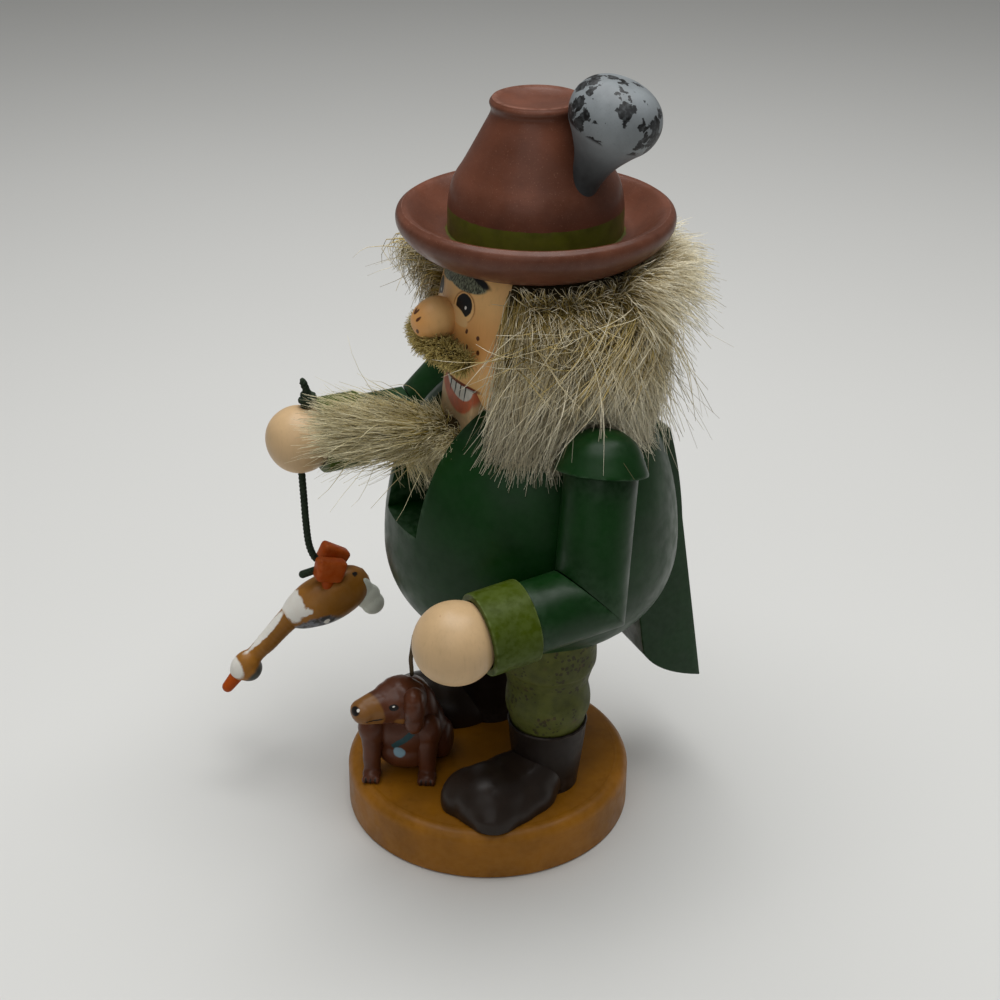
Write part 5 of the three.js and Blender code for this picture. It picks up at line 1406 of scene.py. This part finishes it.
def make_dog():
    brown = dog_finish("dog_paint")
    body = [
        lump((3.5, 6.5, 19), (8.8, 8.2, 14.5)),
        lump((2, 2, 16), (9.8, 6.4, 9.4)),
        lump((2, 3.2, 8), (10, 7, 7)),
        lump((6.5, 11, 10), (8.3, 9.8, 12.4)),
        lump((3.4, 7.6, 28.6), (5.6, 5.6, 4.2)),
        lump((0, 11, 7.2), (4, 7, 7.2)),
        lump((13, 11, 7.2), (4, 7, 7.2)),
    ]
    torso = carve(blob("dog_torso", body, 0.45, 20, 0, DOG_FRAME), 8, 0.7, 1)
    place(torso, dog_finish("dog_body_paint", dog_body_paint), nodes=["dog_body"])
    skull = [lump(SKULL + Vector((0, 0, 0.4)), (8.2, 8.2, 7.6))]
    skull += [lump(SKULL + 3 * MUZZLE_WAY + UP, (7.2, 7.2, 6))]
    skull += limb(SKULL + 2 * MUZZLE_WAY, MUZZLE_TIP, 6.8, 4.4, 16)
    skull += [lump(MUZZLE_TIP + 0.9 * MUZZLE_WAY, (4.5, 4.5, 3.9)), lump(SKULL - 2 * UP, (7, 7, 6))]
    head = carve(blob("dog_skull", skull, 0.35, 8, None, DOG_FRAME), 7, 1.1, 3)
    place(head, dog_finish("dog_head_paint", dog_head_paint), nodes=["dog_head"])
    paws = dog_finish("dog_paw_paint", paw_paint)
    for side, sign in SIDES.items():
        middle = SKULL + sign * 7.4 * HEAD_LEFT - 0.4 * MUZZLE_WAY + (2.2 * sign - 1.2) * UP
        lumps = [lump(middle + 3 * UP, (3.4, 4.2, 4)), lump(middle, (3.6, 5, 6))]
        lumps += [lump(middle - 4.6 * UP, (3.2, 4.6, 4.8))]
        ear = carve(blob(f"dog_{side}_ear_flap", lumps, 0.35, 8, None, DOG_FRAME), 6, 0.5, 5)
        place(ear, brown, nodes=[f"dog_{side}_ear"])
        x = sign * FORELEG_X
        lumps = limb((x, -2, 2), (x, 0, 18), 2.7, 3.8, 24)
        lumps += [lump((sign * 9, 0.8, 17), (4.8, 5, 6.4)), lump((x, -3.4, 1.6), (3.2, 4, 2.2))]
        lumps += [lump((x + toe, -6.2, 1.1), (1.1, 1.5, 1.4)) for toe in (-2, 0, 2)]
        leg = carve(blob(f"dog_{side}_leg", lumps, 0.35, 9, 0, DOG_FRAME), 7, 0.6, 7)
        place(leg, paws, nodes=[f"dog_{side}_foreleg"])


make_dog()

# Goose
GOOSE_PLACE = CORD_TOP + Vector(CORD_ROUTE[-1])
GOOSE_MIDDLE = GOOSE_PLACE + Vector((0, 2.2, -15))
GOOSE_DIP = 0.31
GOOSE_WAY = Vector((0, -math.cos(GOOSE_DIP), -math.sin(GOOSE_DIP)))
NECK_ROOT = GOOSE_MIDDLE + 13.9 * GOOSE_WAY
NECK_WAY = Vector((0, -0.75, -0.66)).normalized()
GOOSE_HEAD = NECK_ROOT + 23 * NECK_WAY
BEAK_WAY = Vector((0, -0.68, -0.73)).normalized()
GOOSE_RUMP_DOT = Vector((-49.4, -28, 65.8))


def goose_body_paint(finish, shade):
    where = finish.shaken(2.6, 3.2)
    tilt = (GOOSE_DIP, 0, 0)
    breast = [(GOOSE_MIDDLE + 13.2 * GOOSE_WAY + Vector((0, 0, 4)), (7, 5, 5.4), tilt, 0.1)]
    breast += [(GOOSE_MIDDLE + 11 * GOOSE_WAY + Vector((6, 0, 3.2)), (3, 3, 1.3), tilt, 0.15)]
    shade = finish.paint(shade, where, WHITE, breast)
    back = [(GOOSE_MIDDLE + Vector((3, -5, -6.6)), (8, 9, 5.2), tilt, 0.1)]
    grey = finish.mix(finish.span(finish.noise(2, 2), 0.4, 0.6), SLATE, PALE_SLATE)
    shade = finish.paint(shade, where, grey, back)
    spots = [(GOOSE_MIDDLE + Vector((6.4, -2.2, -5)), (1.8, 0.8, 1.4), tilt, 0.2)]
    shade = finish.paint(shade, where, WHITE, spots)
    dots = [(GOOSE_MIDDLE + Vector((6.4, -0.4, -4.6)), (1.8, 0.9, 1.2), tilt, 0.2)]
    dots += [(GOOSE_RUMP_DOT, (0.95, 0.95, 0.95), tilt, 0.2)]
    return finish.paint(shade, where, BLACK, dots)


def goose_neck_paint(finish, shade):
    where = finish.shaken(2, 1.2)
    lean = math.atan2(-NECK_WAY.z, -NECK_WAY.y)
    stripe = [(NECK_ROOT + 10 * NECK_WAY + Vector((0.5, -2.6, 3)), (2.4, 10, 1.5), (lean, 0, 0), 0.12)]
    face = [(GOOSE_HEAD + Vector((0, -4.4, 0.6)), (5, 3.2, 5.4), (lean, 0, 0), 0.12)]
    shade = finish.paint(shade, where, WHITE, stripe + face)
    nape = [(GOOSE_HEAD + Vector((1, 3.4, -3.4)), (5.6, 5, 4), (lean, 0, 0), 0.15)]
    return finish.paint(shade, where, NAPE, nape)


def web(name, middle, half, lean):
    """A webbed foot: a small rounded block, wider at its toes."""
    shape = bmesh.new()
    bmesh.ops.create_cube(shape, size=2)
    for corner in shape.verts:
        narrow = 0.86 if corner.co.z < 0 else 1.0
        corner.co = Vector((half[0] * corner.co.x, half[1] * narrow * corner.co.y, half[2] * corner.co.z))
        corner.co = middle + Matrix.Rotation(lean, 3, "X") @ corner.co
        corner.co *= MM
    return bevel(shape_piece(name, shape), 1.6, 4)


def make_goose():
    egg = spline([(3.4, -15.6), (6, -13), (8, -8.4), (8.6, -2), (8.2, 5), (6.4, 11), (3.8, 15.4)], 6)
    body = lathe("goose_egg", [(0, -16.4), *egg, (0, 16.6)], 64, GOOSE_MIDDLE, GOOSE_WAY)
    wobble(body, 9, 0.5)
    body_paint = painted("goose_body_paint", GOOSE_TAN, GOOSE_WEAR_AND_HIGHLIGHT, 0.42, 0.05, extra=goose_body_paint)
    place(body, body_paint, "goose", ["goose_body"])
    lumps = limb(NECK_ROOT, GOOSE_HEAD, 4.2, 2.8, 14)
    lumps += [lump(GOOSE_HEAD, (4.5, 4.5, 6.2), NECK_WAY)]
    lumps += [lump(GOOSE_HEAD + Vector((0, 1, -1.5)), (4.8, 4.8, 4.8))]
    neck = wobble(blob("goose_neck_and_head", lumps, 0.35, 6), 5, 0.3)
    neck_paint = painted("goose_neck_paint", GOOSE_TAN, GOOSE_WEAR_AND_HIGHLIGHT, 0.42, 0.05, extra=goose_neck_paint)
    place(neck, neck_paint, "goose", ["goose_neck"])
    orange = painted("goose_orange_paint", GOOSE_ORANGE, ORANGE_WEAR_AND_HIGHLIGHT, 0.42, 0.0, specular=0.1)
    bill = limb(GOOSE_HEAD + 4.4 * BEAK_WAY, GOOSE_HEAD + 9.8 * BEAK_WAY, 2.4, 2.0, 12)
    place(blob("goose_bill", bill, 0.3, 6), orange, "goose", ["goose_beak"])
    tail_middle = GOOSE_MIDDLE + Vector((4, 13.6, -0.4))
    tail_way = Vector((0, 0.5, -0.86)).normalized()
    leaf = []
    for along, wide in ((-4, 4), (0, 4.8), (3.8, 4.2)):
        leaf.append(lump(tail_middle + along * tail_way, (2.2, wide, 4.8), tail_way))
    grey = painted("goose_tail_paint", TAIL, TAIL_WEAR_AND_HIGHLIGHT, 0.45, 0.05)
    place(blob("goose_tail_leaf", leaf, 0.35, 6), grey, "goose", ["goose_tail"])
    feet = {
        "left": ((3.7, 2.6, -2), (2.9, 5.6, 4), -0.3),
        "right": ((-3.6, 6.2, -1.2), (2.9, 5.5, 4), -0.58),
    }
    for side, (offset, half, lean) in feet.items():
        end = GOOSE_PLACE + Vector(offset)
        root = GOOSE_PLACE + Vector((offset[0], 1.4, -8))
        shin = blob(f"goose_{side}_shin", limb(root, end, 1.9, 2.6, 14), 0.3, 6)
        foot = combine(web(f"goose_{side}_leg", end, half, lean), shin, "UNION", 45)
        place(foot, orange, "goose", [f"goose_{side}_foot"])
    nub = limb(GOOSE_PLACE + Vector((0.4, -6, -3.4)), GOOSE_PLACE + Vector((0.4, 0, -2.6)), 1.4, 1.3, 12)
    place(blob("cord_nub", nub, 0.25, 4), cord_green, "goose")


make_goose()


# Hidden dowels and the pin keep their construction shape
def finish_hidden():
    wood = Finish("bare_beech", 0.7)
    ring = wood.noise(1.2, 3, (1, 1, 10))
    wood.close(wood.mix(wood.span(ring, 0.35, 0.7), BEECH, DARK_BEECH), None, ring, 0.3)
    steel = Finish("drawn_steel", 0.35)
    steel.shader.inputs["Metallic"].default_value = 1.0
    line = steel.noise(0.4, 2, (12, 1, 1))
    steel.close(steel.mix(line, DARK_STEEL, STEEL), steel.span(line, 0, 1, 0.25, 0.45))
    for name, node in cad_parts.items():
        if name.endswith("_dowel"):
            dress(node, wood)
        elif name == "pivot_pin":
            dress(node, steel)


finish_hidden()

# Floor and light, in metres
FLOOR_HALF = 4.0
FLOOR_DROP = 0.0001
WORLD_LIGHT = 0.15
LIGHT_AIM = Vector((0, 0, 0.12))
LAMPS = {
    "key": {"place": (-0.06, 0.07, 1.02), "size": 0.95, "power": 11.4},
    "fill": {"place": (0.7, -0.6, 0.75), "size": 0.8, "power": 1.5},
}


def make_stage():
    half, z = FLOOR_HALF / MM, -FLOOR_DROP / MM
    corners = [(-half, -half, z), (half, -half, z), (half, half, z), (-half, half, z)]
    floor = mesh_piece("floor", corners, [[0, 1, 2, 3]])
    finish = Finish("floor_paper", 0.75, 0.2)
    finish.close(finish.mix(finish.noise(300, 2), DARK_PAPER, PAPER))
    dress(floor, finish)
    world = bpy.data.worlds.new("studio")
    bpy.context.scene.world = world
    world.use_nodes = True
    back = world.node_tree.nodes["Background"]
    back.inputs["Color"].default_value = colour(SKY)
    back.inputs["Strength"].default_value = WORLD_LIGHT
    for name, lamp in LAMPS.items():
        data = bpy.data.lights.new(name, "AREA")
        data.size = lamp["size"]
        data.energy = lamp["power"]
        light = linked(name, data)
        light.location = lamp["place"]
        aim = LIGHT_AIM - Vector(lamp["place"])
        light.rotation_euler = aim.to_track_quat("-Z", "Y").to_euler()
    bpy.context.scene.view_settings.view_transform = "Standard"


make_stage()
